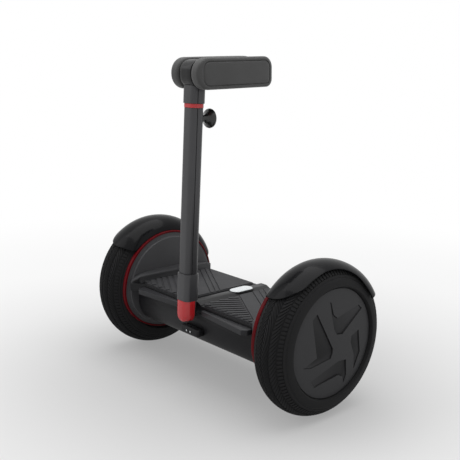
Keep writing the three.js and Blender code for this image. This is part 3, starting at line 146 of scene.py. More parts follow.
class ScooterSizes(bpy.types.PropertyGroup):
    """Sizes of the scooter's fine detail."""

    tread_depth: length_property("Tread depth", "Depth of the grooves in the tyre", 0.0016)
    tread_count: IntProperty(
        name="Tread count", description="Rows of tread blocks round a tyre", default=112, min=24
    )
    rib_pitch: length_property("Rib pitch", "Distance between the foot mats' ribs", 0.0118)
    rib_width: length_property("Rib width", "Width of a rib of the foot mats", 0.0078)
    rib_height: length_property("Rib height", "Height of the foot mats' relief", 0.0014)
    seam_depth: length_property("Seam depth", "Depth of the channel round the knee pads", 0.0015)
    pad_swell: length_property("Pad swell", "Most that a knee pad's skin bulges", 0.0012)
    soft_edge: length_property("Soft edge", "Rounding of the moulded shells' edges", 0.0012)
    grip_count: IntProperty(
        name="Grip count", description="Grips round the clamp knob", default=14, min=3
    )


class ScooterStudio(bpy.types.PropertyGroup):
    """The camera's place and the level of the lamps."""

    azimuth: angle_property("Azimuth", "Camera's turn round the scooter", 48.37)
    elevation: angle_property("Elevation", "Camera's height above the horizon", 12.12)
    distance: length_property("Distance", "Camera's distance from the scooter", 1.4536)
    key_power: FloatProperty(
        name="Key light", description="Power of the key light", default=10.0, min=0,
        subtype="POWER", unit="POWER",
    )
    world_level: FloatProperty(
        name="Surroundings", description="Level of the light from all round", default=0.46, min=0
    )


def colours():
    return bpy.context.scene.scooter_colours


def sizes():
    return bpy.context.scene.scooter_sizes


# Shader and geometry nodes


class Signal:
    """An output of a node that takes part in Python sums."""

    def __init__(self, nodes, node, output=0):
        self.nodes, self.node, self.output = nodes, node, output

    def out(self, output):
        """Another output of the same node."""
        return Signal(self.nodes, self.node, output)

    def math(self, operation, *values):
        return self.nodes.add("ShaderNodeMath", {"operation": operation}, dict(enumerate(values)))

    def __add__(self, other):
        return self.math("ADD", self, other)

    def __sub__(self, other):
        return self.math("SUBTRACT", self, other)

    def __rsub__(self, other):
        return self.math("SUBTRACT", other, self)

    def __mul__(self, other):
        return self.math("MULTIPLY", self, other)

    def __truediv__(self, other):
        return self.math("DIVIDE", self, other)

    def __rtruediv__(self, other):
        return self.math("DIVIDE", other, self)

    __radd__ = __add__
    __rmul__ = __mul__

    def sine(self):
        return self.math("SINE", self)

    def step(self, low, high):
        """0 below low, 1 above high and smooth between."""
        return self.nodes.add(
            "ShaderNodeMapRange", {"interpolation_type": "SMOOTHSTEP"},
            {"Value": self, "From Min": low, "From Max": high},
        )


class Nodes:
    """A node tree under construction."""

    def __init__(self, tree):
        self.tree = tree

    def add(self, kind, settings=None, inputs=None):
        """A node of a type, given by its first output: settings first, then its sockets' values or links."""
        node = self.tree.nodes.new(kind)
        for name, value in (settings or {}).items():
            setattr(node, name, value)
        for name, value in (inputs or {}).items():
            if isinstance(value, Signal):
                self.tree.links.new(value.node.outputs[value.output], node.inputs[name])
            else:
                node.inputs[name].default_value = value
        return Signal(self, node)

    def mix(self, factor, low, high):
        """A colour between two colours."""
        low, high = (c if isinstance(c, Signal) else (*c[:3], 1) for c in (low, high))
        return self.add("ShaderNodeMix", {"data_type": "RGBA"}, {0: factor, 6: low, 7: high}).out(2)

    def axes(self, vector):
        """The three parts of a vector."""
        split = self.add("ShaderNodeSeparateXYZ", inputs={"Vector": vector})
        return split, split.out(1), split.out(2)

    def distance(self, a, b):
        """How far a place lies from the origin of two axes."""
        square = a * a + b * b
        return square.math("SQRT", square)

    def stretched(self, vector, scale):
        return self.add("ShaderNodeMapping", inputs={"Vector": vector, "Scale": scale})

    def noise(self, vector, scale, detail=2.0, roughness=0.5):
        inputs = {"Vector": vector, "Scale": scale, "Detail": detail, "Roughness": roughness}
        return self.add("ShaderNodeTexNoise", inputs=inputs)

    def uneven(self, place, scale, colour, low, high):
        """A colour that changes slowly between two shades."""
        share = self.noise(place, scale, 3.0).step(0.3, 0.7)
        return self.mix(share, shade(colour, low), shade(colour, high))

    def bump(self, height, strength, distance):
        inputs = {"Height": height, "Strength": strength, "Distance": distance}
        return self.add("ShaderNodeBump", inputs=inputs)

    def grain(self, place, scale=1500, height=0.00004):
        """An eroded grain: the change of roughness that it makes, and its normal."""
        fine = self.noise(place, scale, 2.0, 0.6)
        return (fine - 0.5) * 0.08, self.bump(fine, 0.6, height)

    def surface(self, colour, roughness, **inputs):
        """Ends a finish in the principled shader; its other inputs are given by their names."""
        named = {n.replace("_", " ").title().replace("Ior", "IOR"): v for n, v in inputs.items()}
        named |= {"Base Color": colour, "Roughness": roughness}
        shader = self.add("ShaderNodeBsdfPrincipled", inputs=named)
        self.add("ShaderNodeOutputMaterial", inputs={"Surface": shader})

    def blend(self, share, first, second, output):
        """Ends a tree in two shaders, mixed."""
        mixed = self.add("ShaderNodeMixShader", inputs={0: share, 1: first, 2: second})
        self.add(output, inputs={"Surface": mixed})


def finish_maker(fill):
    """Lets a function that fills a node tree give a material by its name, filled only once."""

    def named(name, *values, **constants):
        material = bpy.data.materials.get(name)
        if material is None:
            material = bpy.data.materials.new(name)
            material.use_nodes = True
            material.node_tree.nodes.clear()
            nodes = Nodes(material.node_tree)
            # Object coordinates are the shared frame's metres on every piece
            fill(nodes, nodes.add("ShaderNodeTexCoord").out("Object"), *values, **constants)
        return material

    return named


@finish_maker
def moulded(nodes, place, colour, roughness, grain=1500, grain_height=0.00004, **constants):
    """Moulded plastic: a fine eroded grain, slow changes of tone and a few duller patches."""
    rough, normal = nodes.grain(place, grain, grain_height)
    patches = nodes.noise(place, 60.0, 4.0, 0.6)
    base = nodes.uneven(place, 9.0, colour, 0.88, 1.12)
    nodes.surface(base, roughness + (patches - 0.5) * 0.12 + rough, normal=normal, **constants)


@finish_maker
def tyre_rubber(nodes, place, colour):
    """Tyre rubber: matt, with a fine pitted skin, faint rings on the sidewall and a dusty tread."""
    _, y, z = nodes.axes(place)
    radius = nodes.distance(y, z - TYRE_RADIUS * MM)
    rings = (radius * 2600).sine() * radius.step(0.1, 0.104) * (1 - radius.step(0.113, 0.117))
    pits = nodes.noise(place, 1100, 3.0, 0.6)
    dust = nodes.noise(place, 34, 5.0, 0.65) * radius.step(0.116, 0.131)
    base = nodes.mix(dust.step(0.25, 0.9), shade(colour, 0.92), shade(colour, 1.5))
    normal = nodes.bump(pits * 0.5 + rings * 0.3, 0.5, 0.00012)
    nodes.surface(base, 0.66 + pits * 0.2, normal=normal, specular_ior_level=0.22)


@finish_maker
def hub_satin(nodes, place, colour):
    """The wheel cover's satin plastic, duller in the facets, with painted shade darkening their floors and
    walls.
    """
    sunk = nodes.add("ShaderNodeAttribute", {"attribute_name": "sunk"}).out("Fac").step(0.6, 3.2)
    wall = nodes.add("ShaderNodeAttribute", {"attribute_name": "wall"}).out("Fac")
    rough, normal = nodes.grain(place)
    base = nodes.uneven(place, 9.0, colour, 0.95, 1.05)
    # Painted shade: the colour darkens with the depth sunk into a facet, and most on the facets' walls
    base = nodes.mix(sunk * 0.75, base, shade(colour, 0.3))
    base = nodes.mix(wall * 0.85, base, shade(colour, 0.12))
    nodes.surface(
        base, 0.5 + rough, normal=normal,
        coat_weight=(0.3 - sunk * 0.27) * (1 - wall * 0.8), specular_ior_level=0.12, coat_roughness=0.42,
    )


@finish_maker
def pad_skin(nodes, place, colour):
    """The knee pads' skin: a soft grained leather look with pores, creases darkened by painted shade, and a
    slight sheen.
    """
    wander = nodes.stretched(nodes.noise(place, 220).out("Color"), (0.0012, 0.0012, 0.0012))
    bent = nodes.add("ShaderNodeVectorMath", {"operation": "ADD"}, {0: place, 1: wander})
    cells = nodes.add(
        "ShaderNodeTexVoronoi", {"feature": "DISTANCE_TO_EDGE"}, {"Vector": bent, "Scale": 620}
    )
    pores = nodes.noise(place, 2100)
    slow = nodes.noise(place, 16, 4.0, 0.55)
    creases = cells.step(0.0, 0.16)
    base = nodes.mix(slow.step(0.3, 0.72), shade(colour, 0.88), shade(colour, 1.12))
    # Painted shade: the grain's creases are darkened
    base = nodes.mix((1 - creases) * 0.35, base, shade(colour, 0.55))
    nodes.surface(
        base, 0.56 + slow * 0.12 - creases * 0.05,
        normal=nodes.bump(creases * 0.7 + pores * 0.3, 0.4, 0.00009),
        sheen_weight=0.12, sheen_roughness=0.5, specular_ior_level=0.35,
    )


@finish_maker
def painted(nodes, place, colour, roughness, coat):
    """Painted tube: fine drawn lines along Z under a thin clear coat."""
    drawn = nodes.noise(nodes.stretched(place, (1.0, 1.0, 0.02)), 2300)
    grain = nodes.noise(place, 1800)
    nodes.surface(
        nodes.uneven(place, 12, colour, 0.93, 1.07), roughness + (drawn - 0.5) * 0.1,
        normal=nodes.bump(drawn * 0.6 + grain * 0.4, 0.35, 0.00003),
        metallic=0.15, coat_weight=coat, coat_roughness=0.28, specular_ior_level=0.35,
    )


@finish_maker
def red_plastic(nodes, place, colour, coat, specular):
    """Red trim: glossy plastic with painted shade that darkens it where its surface turns away from the view.
    """
    fine = nodes.noise(place, 1300)
    edge = nodes.add("ShaderNodeLayerWeight", inputs={"Blend": 0.35}).out("Facing")
    # Painted shade: the colour darkens where the surface is seen side-on
    base = nodes.mix(edge * 0.5, nodes.uneven(place, 40, colour, 0.9, 1.08), shade(colour, 0.5))
    nodes.surface(
        base, 0.26 + (fine - 0.5) * 0.06, normal=nodes.bump(fine, 0.3, 0.00002),
        coat_weight=coat, coat_roughness=0.12, specular_ior_level=specular,
    )


@finish_maker
def deck_plastic(nodes, place, middle, ends):
    """The deck's moulded plastic, paler on the cheeks at its two ends."""
    x, _, z = nodes.axes(place)
    slow = nodes.noise(place, 9.0, 3.0)
    rough, normal = nodes.grain(place)
    inner, floor = CHEEK_INNER * MM, DECK_TOP * MM
    cheek = (x * x).step((inner - 0.0005) ** 2, inner**2) * z.step(floor, floor + 0.002)
    base = nodes.mix(cheek, middle, ends)
    base = nodes.mix(slow.step(0.3, 0.7) * 0.2, base, shade(middle, 0.6))
    nodes.surface(base, 0.46 + rough, normal=normal, specular_ior_level=0.2)


@finish_maker
def milky_lens(nodes, place, colour):
    """The status light: a milky lens that glows evenly with a faint line pattern inside."""
    _, y, _ = nodes.axes(place)
    lines = (y * 1600).sine() * 0.5 + 0.5
    cloud = nodes.noise(place, 90, 3.0)
    nodes.surface(
        nodes.mix(lines * 0.25 + cloud * 0.2, colour, shade(colour, 0.8)), 0.22 + cloud * 0.1,
        emission_color=nodes.mix(cloud.step(0.2, 0.8), shade(colour, 0.82), colour),
        emission_strength=0.3, coat_weight=0.3,
    )


@finish_maker
def metal(nodes, place, colour, roughness, scale=(1, 1, 1)):
    """Bare or anodised metal with tool marks."""
    marks = nodes.noise(nodes.stretched(place, scale), 900, 3.0, 0.6)
    base = nodes.mix(nodes.noise(place, 22, 3.0), shade(colour, 0.88), shade(colour, 1.06))
    normal = nodes.bump(marks, 0.3, 0.00003)
    nodes.surface(base, roughness + (marks - 0.5) * 0.2, normal=normal, metallic=1.0)


@finish_maker
def board(nodes, place):
    """Circuit board: a green mask with copper runs and pale pads."""
    x, y, _ = nodes.axes(place)
    runs = ((x * 700).sine() * (y * 900).sine()).step(0.35, 0.45)
    dots = nodes.add("ShaderNodeTexVoronoi", inputs={"Vector": place, "Scale": 240})
    base = nodes.mix(runs * 0.6, tint("1d5a34"), tint("2f7a4b"))
    base = nodes.mix(1 - dots.step(0.12, 0.18), base, tint("b9a36a"))
    nodes.surface(base, 0.4 + runs * 0.2, normal=nodes.bump(runs, 0.4, 0.00006))


def finish_named(name):
    """A finish by the name of its slot in the record, or by a name of its own."""
    c = colours()
    makers = {
        "tyre": lambda: tyre_rubber("tyre_rubber", c.rubber),
        "shell": lambda: moulded("body_shell", c.shell, 0.44, specular_ior_level=0.15),
        "deck": lambda: deck_plastic("deck_shell", c.shell, c.trim),
        "trim": lambda: moulded("trim_satin", c.trim, 0.5, specular_ior_level=0.3),
        "rail": lambda: moulded("rail_satin", shade(c.shell, 1.9), 0.44, specular_ior_level=0.22),
        "spine": lambda: moulded(
            "spine_satin", shade(c.shell, 0.8), 0.42, grain_height=0.00002, specular_ior_level=0.22
        ),
        "fender": lambda: moulded(
            "fender_satin", c.fender, 0.32, grain_height=0.000015,
            coat_weight=0.12, coat_roughness=0.12, specular_ior_level=0.04,
        ),
        "hub_cover": lambda: hub_satin("hub_cover_satin", c.hub),
        "foot_mat": lambda: moulded(
            "foot_mat_rubber", c.mat, 0.6, grain=900, grain_height=0.00008, specular_ior_level=0.17
        ),
        "knee_pad": lambda: pad_skin("knee_pad_skin", c.pad),
        "pole": lambda: painted("pole_paint", c.pole, 0.42, 0.1),
        "gloss_black": lambda: moulded(
            "gloss_black", c.gloss, 0.3, grain_height=0.00001,
            coat_weight=0.35, coat_roughness=0.16, specular_ior_level=0.25,
        ),
        "core": lambda: moulded(
            "core_gloss", shade(c.gloss, 0.8), 0.4, grain_height=0.00001,
            coat_weight=0.22, coat_roughness=0.13, specular_ior_level=0.15,
        ),
        "red_trim": lambda: red_plastic("red_trim", c.red, 0.3, 0.4),
        # The rings' darker red carries painted shade from the fenders besides their own colour
        "ring": lambda: red_plastic("red_ring", c.ring, 0.0, 0.06),
        "light_lens": lambda: milky_lens("milky_lens", c.lens),
        "anodised_aluminium": lambda: metal("anodised_aluminium", tint("9a9ca0"), 0.36, (1, 1, 0.05)),
        "cast_aluminium": lambda: metal("cast_aluminium", tint("a4a6a8"), 0.55),
        "steel": lambda: metal("bright_steel", tint("c4c6c8"), 0.24, (0.1, 1, 1)),
        "magnets": lambda: metal("nickel_magnets", tint("8d8f92"), 0.3),
        "stator_core": lambda: metal("wound_copper", tint("a5653a"), 0.42, (4, 1, 1)),
        "battery": lambda: moulded("battery_wrap", tint("2a4b7c"), 0.4),
        "circuit_board": lambda: board("circuit_board"),
        "sensor_film": lambda: moulded("sensor_film", tint("6a6c70"), 0.5),
        "soft_rubber": lambda: moulded("soft_rubber", tint("232324"), 0.7, grain_height=0.00006),
    }
    return makers[name]()


# Mesh building


@contextmanager
def reworked(mesh):
    """A mesh open for editing, written back at the end."""
    form = bmesh.new()
    form.from_mesh(mesh)
    yield form
    form.to_mesh(mesh)
    form.free()


def grid_faces(rows, columns, around=False, along=False):
    """Four-sided faces of a grid of points, closed around its columns or along its rows if asked."""
    faces = []
    for i in range(rows if along else rows - 1):
        for j in range(columns if around else columns - 1):
            k, m = (i + 1) % rows, (j + 1) % columns
            faces.append((i * columns + j, i * columns + m, k * columns + m, k * columns + j))
    return faces


def mesh_of(points, faces):
    """A mesh of points in millimetres, its doubles merged and its faces outward."""
    mesh = bpy.data.meshes.new("form")
    mesh.from_pydata([tuple(c * MM for c in p) for p in points], [], faces)
    with reworked(mesh) as form:
        bmesh.ops.remove_doubles(form, verts=form.verts, dist=1e-6)
        bmesh.ops.dissolve_degenerate(form, edges=form.edges, dist=1e-7)
        bmesh.ops.recalc_face_normals(form, faces=form.faces)
    return mesh


def merged(*meshes):
    """Several meshes as one."""
    result = bpy.data.meshes.new("form")
    with reworked(result) as form:
        for mesh in meshes:
            form.from_mesh(mesh)
            bpy.data.meshes.remove(mesh)
    return result


def transformed(mesh, matrix):
    """A mesh moved by a matrix whose lengths are millimetres."""
    mesh.transform(Matrix.Scale(MM, 4) @ matrix @ Matrix.Scale(1 / MM, 4))
    return mesh


def in_scene(name, data):
    """An object of some data, put in the scene."""
    obj = bpy.data.objects.new(name, data)
    bpy.context.scene.collection.objects.link(obj)
    return obj


def piece(name, mesh, body, slot, nodes, angle=38.0, finish=None):
    """A finished piece, smooth but for edges past an angle, riding on its body and standing for its nodes."""
    mesh.name = name
    with reworked(mesh) as form:
        for face in form.faces:
            face.smooth = True
        for edge in form.edges:
            edge.smooth = len(edge.link_faces) == 2 and edge.calc_face_angle(0) < math.radians(angle)
    mesh.materials.clear()
    mesh.materials.append(finish_named(finish or slot))
    obj = in_scene(name, mesh)
    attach(obj, body)
    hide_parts(*nodes)
    return obj


def evaluated(obj):
    """The mesh of an object with its modifiers applied; the object goes."""
    graph = bpy.context.evaluated_depsgraph_get()
    mesh = bpy.data.meshes.new_from_object(obj.evaluated_get(graph), depsgraph=graph)
    bpy.data.objects.remove(obj)
    return mesh


def modified(mesh, kind, **settings):
    """A mesh changed by one modifier."""
    obj = in_scene("working", mesh)
    modifier = obj.modifiers.new(kind.title(), kind)
    for name, value in settings.items():
        setattr(modifier, name, value)
    return evaluated(obj)


def bevelled(mesh, width, segments=2, angle=32.0):
    """A mesh with its sharp edges rounded off."""
    limit = math.radians(angle)
    return modified(mesh, "BEVEL", width=width, segments=segments, limit_method="ANGLE", angle_limit=limit)


def carved(mesh, cutter):
    """A mesh with another mesh's form cut out of it."""
    tool = in_scene("tool", cutter)
    result = modified(mesh, "BOOLEAN", operation="DIFFERENCE", solver="EXACT", object=tool)
    bpy.data.objects.remove(tool)
    return result


def softened(node, width=None, segments=2):
    """A copy of a CAD node's mesh, merged, with flat faces joined and edges rounded."""
    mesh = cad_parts[node].data.copy()
    with reworked(mesh) as form:
        bmesh.ops.remove_doubles(form, verts=form.verts, dist=2e-6)
        bmesh.ops.dissolve_limit(form, angle_limit=math.radians(0.5), verts=form.verts, edges=form.edges)
        bmesh.ops.recalc_face_normals(form, faces=form.faces)
    return bevelled(mesh, width or sizes().soft_edge, segments)


def arc(along, out, wide, high, first, last, steps):
    """Points of an elliptic arc about a centre, from one angle to another, with 0 outward and 90 along."""
    angles = [math.radians(first + (last - first) * k / steps) for k in range(steps + 1)]
    return [(along + wide * math.sin(a), out + high * math.cos(a)) for a in angles]


def polar(radius, angle):
    return radius * math.cos(angle), radius * math.sin(angle)


def circle(radius, count):
    return [polar(radius, 2 * math.pi * k / count) for k in range(count)]


def neighbours(outline):
    """Each point of a closed outline with the one after it."""
    return zip(outline, (*outline[1:], outline[0]))


def turned(profile, steps=128, closed=False):
    """A profile of [along, radius] points turned about the X axis."""
    points = [(along, radius * c, radius * s) for c, s in circle(1, steps) for along, radius in profile]
    return points, grid_faces(steps, len(profile), around=closed, along=True)


def rounded_outline(x0, x1, y0, y1, radii, steps=8):
    """A rectangle's outline with its own radius at each corner, from its low-low corner round."""
    a, b, c, d = radii if isinstance(radii, (list, tuple)) else (radii,) * 4
    points = []
    for cx, cy, radius, start in (
        (x0 + a, y0 + a, a, 180),
        (x1 - b, y0 + b, b, 270),
        (x1 - c, y1 - c, c, 0),
        (x0 + d, y1 - d, d, 90),
    ):
        for k in range(steps + 1):
            x, y = polar(radius, math.radians(start + 90 * k / steps))
            points.append((cx + x, cy + y))
    return points


def stacked(rings):
    """A closed body of rings of equal counts, each ring a list of points."""
    count = len(rings[0])
    last = (len(rings) - 1) * count
    faces = grid_faces(len(rings), count, around=True)
    faces += [tuple(reversed(range(count))), tuple(range(last, last + count))]
    return mesh_of([p for ring in rings for p in ring], faces)


def levels(rings):
    """Rings of flat outlines, each given with its height."""
    return [[(x, y, z) for x, y in outline] for outline, z in rings]


def extruded(outline, start, end, edge):
    """An outline pushed up Z with rounded rims."""
    turns = [math.radians(degrees) for degrees in (0, 30, 60, 90)]
    rim = [(edge * (1 - math.sin(turn)), edge * (1 - math.cos(turn))) for turn in turns]
    places = [(inset, start + rise) for inset, rise in rim]
    places += [(inset, end - rise) for inset, rise in reversed(rim)]
    return stacked(levels([(inward(outline, inset), z) for inset, z in places]))


def inward(outline, inset):
    """An outline drawn toward its middle, for outlines that are wider than the inset."""
    cx, cy = (sum(p[i] for p in outline) / len(outline) for i in (0, 1))
    wide = max(abs(x - cx) for x, y in outline)
    deep = max(abs(y - cy) for x, y in outline)
    return [(cx + (x - cx) * (1 - inset / wide), cy + (y - cy) * (1 - inset / deep)) for x, y in outline]


def inset_outline(points, inset):
    """A closed outline drawn in by a length, each corner along its own bisector."""
    sign = 1 if sum(a[0] * b[1] - b[0] * a[1] for a, b in neighbours(points)) > 0 else -1
    result = []
    for i, point in enumerate(points):
        before, after = Vector(points[i - 1]), Vector(points[(i + 1) % len(points)])
        here = Vector(point)
        a, b = (here - before).normalized(), (after - here).normalized()
        na, nb = Vector((-a.y, a.x)) * sign, Vector((-b.y, b.x)) * sign
        middle = (na + nb).normalized()
        result.append(tuple(here + middle * (inset / max(middle.dot(na), 0.45))))
    return result


def spline(places, values, at):
    """A value between chosen ones, on a smooth curve through them."""
    slopes = np.gradient(values, places)
    k = min(max(np.searchsorted(places, at) - 1, 0), len(places) - 2)
    span = places[k + 1] - places[k]
    t = (at - places[k]) / span
    leave, reach = t**3 - 2 * t**2 + t, t**3 - t**2
    share = 3 * t**2 - 2 * t**3
    bend = span * (leave * slopes[k] + reach * slopes[k + 1])
    return float((1 - share) * values[k] + share * values[k + 1] + bend)


def tree_named(name, inputs, finish, fill):
    """A Geometry Nodes tree, made only once, that ends in Realize Instances and Set Material."""
    tree = bpy.data.node_groups.get(name)
    if tree is None:
        tree = bpy.data.node_groups.new(name, "GeometryNodeTree")
        tree.interface.new_socket("Geometry", in_out="OUTPUT", socket_type="NodeSocketGeometry")
        for label, kind in {"Geometry": "Geometry", **inputs}.items():
            tree.interface.new_socket(label, in_out="INPUT", socket_type=f"NodeSocket{kind}")
        nodes = Nodes(tree)
        form = fill(nodes, nodes.add("NodeGroupInput").out)
        real = nodes.add("GeometryNodeRealizeInstances", inputs={"Geometry": form})
        coated = nodes.add(
            "GeometryNodeSetMaterial", inputs={"Geometry": real, "Material": finish_named(finish)}
        )
        nodes.add("NodeGroupOutput", inputs={"Geometry": coated})
    return tree


def grown(mesh, tree, values):
    """What a Geometry Nodes tree makes of a mesh, as a plain mesh."""
    obj = in_scene("working", mesh)
    modifier = obj.modifiers.new(tree.name, "NODES")
    modifier.node_group = tree
    for item in tree.interface.items_tree:
        if item.in_out == "INPUT" and item.name in values:
            modifier[item.identifier] = values[item.name]
    return evaluated(obj)


def round_axle(nodes, given):
    """Repeats a form round the X axis."""
    points = nodes.add("GeometryNodePoints", inputs={"Count": given("Count")})
    turn = nodes.add("GeometryNodeInputIndex") * (2 * math.pi) / given("Count")
    inputs = {
        "Points": points,
        "Instance": given("Geometry"),
        "Rotation": nodes.add("ShaderNodeCombineXYZ", inputs={"X": turn}),
    }
    return nodes.add("GeometryNodeInstanceOnPoints", inputs=inputs)


def repeated(mesh, count):
    """A form and its copies round the X axis, as one mesh."""
    tree = tree_named("Repeat round axle", {"Count": "Int"}, "tyre", round_axle)
    return grown(mesh, tree, {"Count": count})


def ribs_along(nodes, given):
    """Turns the edges of a mesh into flat-topped ribs of a width and height."""
    path = nodes.add("GeometryNodeMeshToCurve", inputs={"Mesh": given("Geometry")})
    upright = nodes.add("GeometryNodeSetCurveNormal", {"mode": "Z_UP"}, {"Curve": path})
    width = given("Width")
    section = nodes.add(
        "GeometryNodeCurvePrimitiveQuadrilateral", {"mode": "TRAPEZOID"},
        {"Height": given("Height"), "Bottom Width": width, "Top Width": width * 0.8, "Offset": 0},
    )
    inputs = {"Curve": upright, "Profile Curve": section, "Fill Caps": True}
    return nodes.add("GeometryNodeCurveToMesh", inputs=inputs)


# Wheels

BEAD_HALF, BEAD_RADIUS = 26.7, 88.3
FOOT_HALF, FOOT_RADIUS = 34.6, 95.5
CAVITY_HALF, CAVITY_MIDDLE, CAVITY_HEIGHT, CAVITY_MOUTH = 31.0, 98.0, 28.0, 20.0
TREAD_END = 58
SIDE_RING, SIDE_RING_SPREAD, SIDE_RING_DEPTH = 67, 1.6, 0.9
# Each block row's start and end across the tyre in degrees, its place round the tyre at both in
# pitches, and its share of the blocks' width
BLOCKS = ((1.6, 20, 0.0, 3.4, 0.86), (22, 40, 4.4, 2.2, 1.0), (43, 57, 2.7, 2.6, 1.05))
BLOCK_WIDTH = 0.66


def wheel_placed(mesh, side):
    """A mesh drawn about the wheel's middle with +X outward, put at a side's wheel."""
    turn = Matrix.Rotation(math.pi if side == "left" else 0, 4, "Z")
    return transformed(mesh, Matrix.Translation((SIDES[side] * WHEEL_X, 0, TYRE_RADIUS)) @ turn)


def mirrored(mesh, side):
    """A mesh drawn on the +X side, put on a side with its faces outward."""
    if side == "left":
        mesh.transform(Matrix.Scale(-1, 4, (1, 0, 0)))
        mesh.flip_normals()
    return mesh


def crown_point(angle, depth):
    """Along and radius of a place on the tyre's outer curve, angle 0 at the crown, sunk by a depth."""
    half, high = TYRE_HALF, TYRE_SHOULDER
    along, radius = half * math.sin(angle), TYRE_RADIUS - high + high * math.cos(angle)
    out = Vector((math.sin(angle) / half, math.cos(angle) / high)).normalized()
    return along - depth * out[0], radius - depth * out[1]


def tyre_profile(groove):
    """The tyre's closed section: a grooved carcass with a sunk ring on the sidewall."""
    profile = [(-BEAD_HALF, BEAD_RADIUS), (-BEAD_HALF, FOOT_RADIUS), (-FOOT_HALF, FOOT_RADIUS)]
    steps = 108
    for i in range(steps + 1):
        degrees = -90 + 180 * i / steps
        ring = (abs(degrees) - SIDE_RING) / SIDE_RING_SPREAD
        depth = (groove if abs(degrees) < TREAD_END else 0.0) + SIDE_RING_DEPTH * math.exp(-ring * ring)
        profile.append(crown_point(math.radians(degrees), depth))
    profile += [(FOOT_HALF, FOOT_RADIUS), (BEAD_HALF, FOOT_RADIUS), (BEAD_HALF, BEAD_RADIUS)]
    profile.append((CAVITY_MOUTH, BEAD_RADIUS))
    profile += arc(0, CAVITY_MIDDLE, CAVITY_HALF, CAVITY_HEIGHT, 90, -90, 24)
    return [*profile, (-CAVITY_MOUTH, BEAD_RADIUS)]


def tread_block(start, end, turn_start, turn_end, width, groove):
    """One curved tread block between two places across the tyre."""
    steps = 7
    foot = groove + 0.3
    rings = []
    for i in range(steps + 1):
        t = i / steps
        turn = turn_start + (turn_end - turn_start) * t**1.3
        half = width * (0.72 if i in (0, steps) else 1.0) / 2
        ring = []
        for across, depth in ((-1.16, foot), (-0.92, 0.12), (0, 0.0), (0.92, 0.12), (1.16, foot)):
            along, radius = crown_point(math.radians(start + (end - start) * t), depth)
            ring.append((along, *polar(radius, turn + across * half / TYRE_RADIUS)))
        rings.append(ring)
    return stacked(rings)


def tyre_mesh():
    """A tyre: its carcass and the blocks of its tread."""
    groove = sizes().tread_depth / MM
    count = sizes().tread_count
    pitch = 2 * math.pi / count
    width = TYRE_RADIUS * pitch * BLOCK_WIDTH
    blocks = [
        tread_block(sign * start, sign * end, (shift + a) * pitch, (shift + b) * pitch, width * share, groove)
        for sign, shift in ((1, 0.0), (-1, 0.5))
        for start, end, a, b, share in BLOCKS
    ]
    carcass = mesh_of(*turned(tyre_profile(groove), 160, closed=True))
    return merged(carcass, repeated(merged(*blocks), count))


# Each facet's outline as shares of the cover's radius with angles, the depth of its floor at each
# corner, and the pairs of corners that a crease joins
FACETS = (
    (
        (
            (0.76, 125), (0.77, 136), (0.44, 203), (0.79, 201),
            (0.63, 211), (0.27, 260), (0.18, 268), (0.09, 269),
        ),
        (1.5, 1.7, 3.0, 0.5, 0.8, 1.3, 1.7, 2.2),
        ((2, 7),),
    ),
    (
        (
            (0.87, 42), (0.89, 34), (0.27, 27), (0.17, 58), (0.26, 88),
            (0.79, 100), (0.77, 97), (0.53, 92), (0.46, 80),
        ),
        (0.8, 0.9, 1.8, 2.1, 2.3, 0.9, 0.5, 1.4, 1.6),
        ((3, 8),),
    ),
    (
        ((0.69, 9), (0.49, 4), (0.48, -10), (0.67, -30), (0.86, -46), (0.81, -23), (0.7, -2)),
        (1.2, 2.0, 2.6, 2.2, 0.8, 1.2, 1.5),
        (),
    ),
    (
        (
            (0.79, 226), (0.83, 238), (0.65, 285), (0.74, 293),
            (0.88, 292), (0.79, 300), (0.53, 314), (0.4, 294),
        ),
        (0.9, 1.0, 2.2, 2.4, 0.9, 1.2, 1.9, 2.0),
        ((2, 7),),
    ),
)
# How far a facet's wall leans in, how close to a facet no other point may lie, and the floor's least
# depth with the scale of the depths above
FACET_WALL = 1.0
FACET_MARGIN = 1.2
FACET_LEAST, FACET_SCALE = 0.7, 0.8
RIM_STEP = 2.6
RIM_COUNT = 128
RIM_CIRCLES = (HUB_RADIUS, HUB_GROOVE + 0.3, HUB_GROOVE, 92.5, 91.0, 89.0, 86.5)
FACE_CIRCLES = ((83, 96), (74, 72), (62, 60), (50, 48), (38, 36), (26, 24), (13, 12), (0, 1))
DOME_EDGE = 84


def hub_dome(radius):
    """How far the cover's face lies behind its middle."""
    edge = max(0.0, (radius - DOME_EDGE) / (HUB_RADIUS - DOME_EDGE))
    return 0.4 * (radius / HUB_RADIUS) ** 2 + 0.7 * edge**2


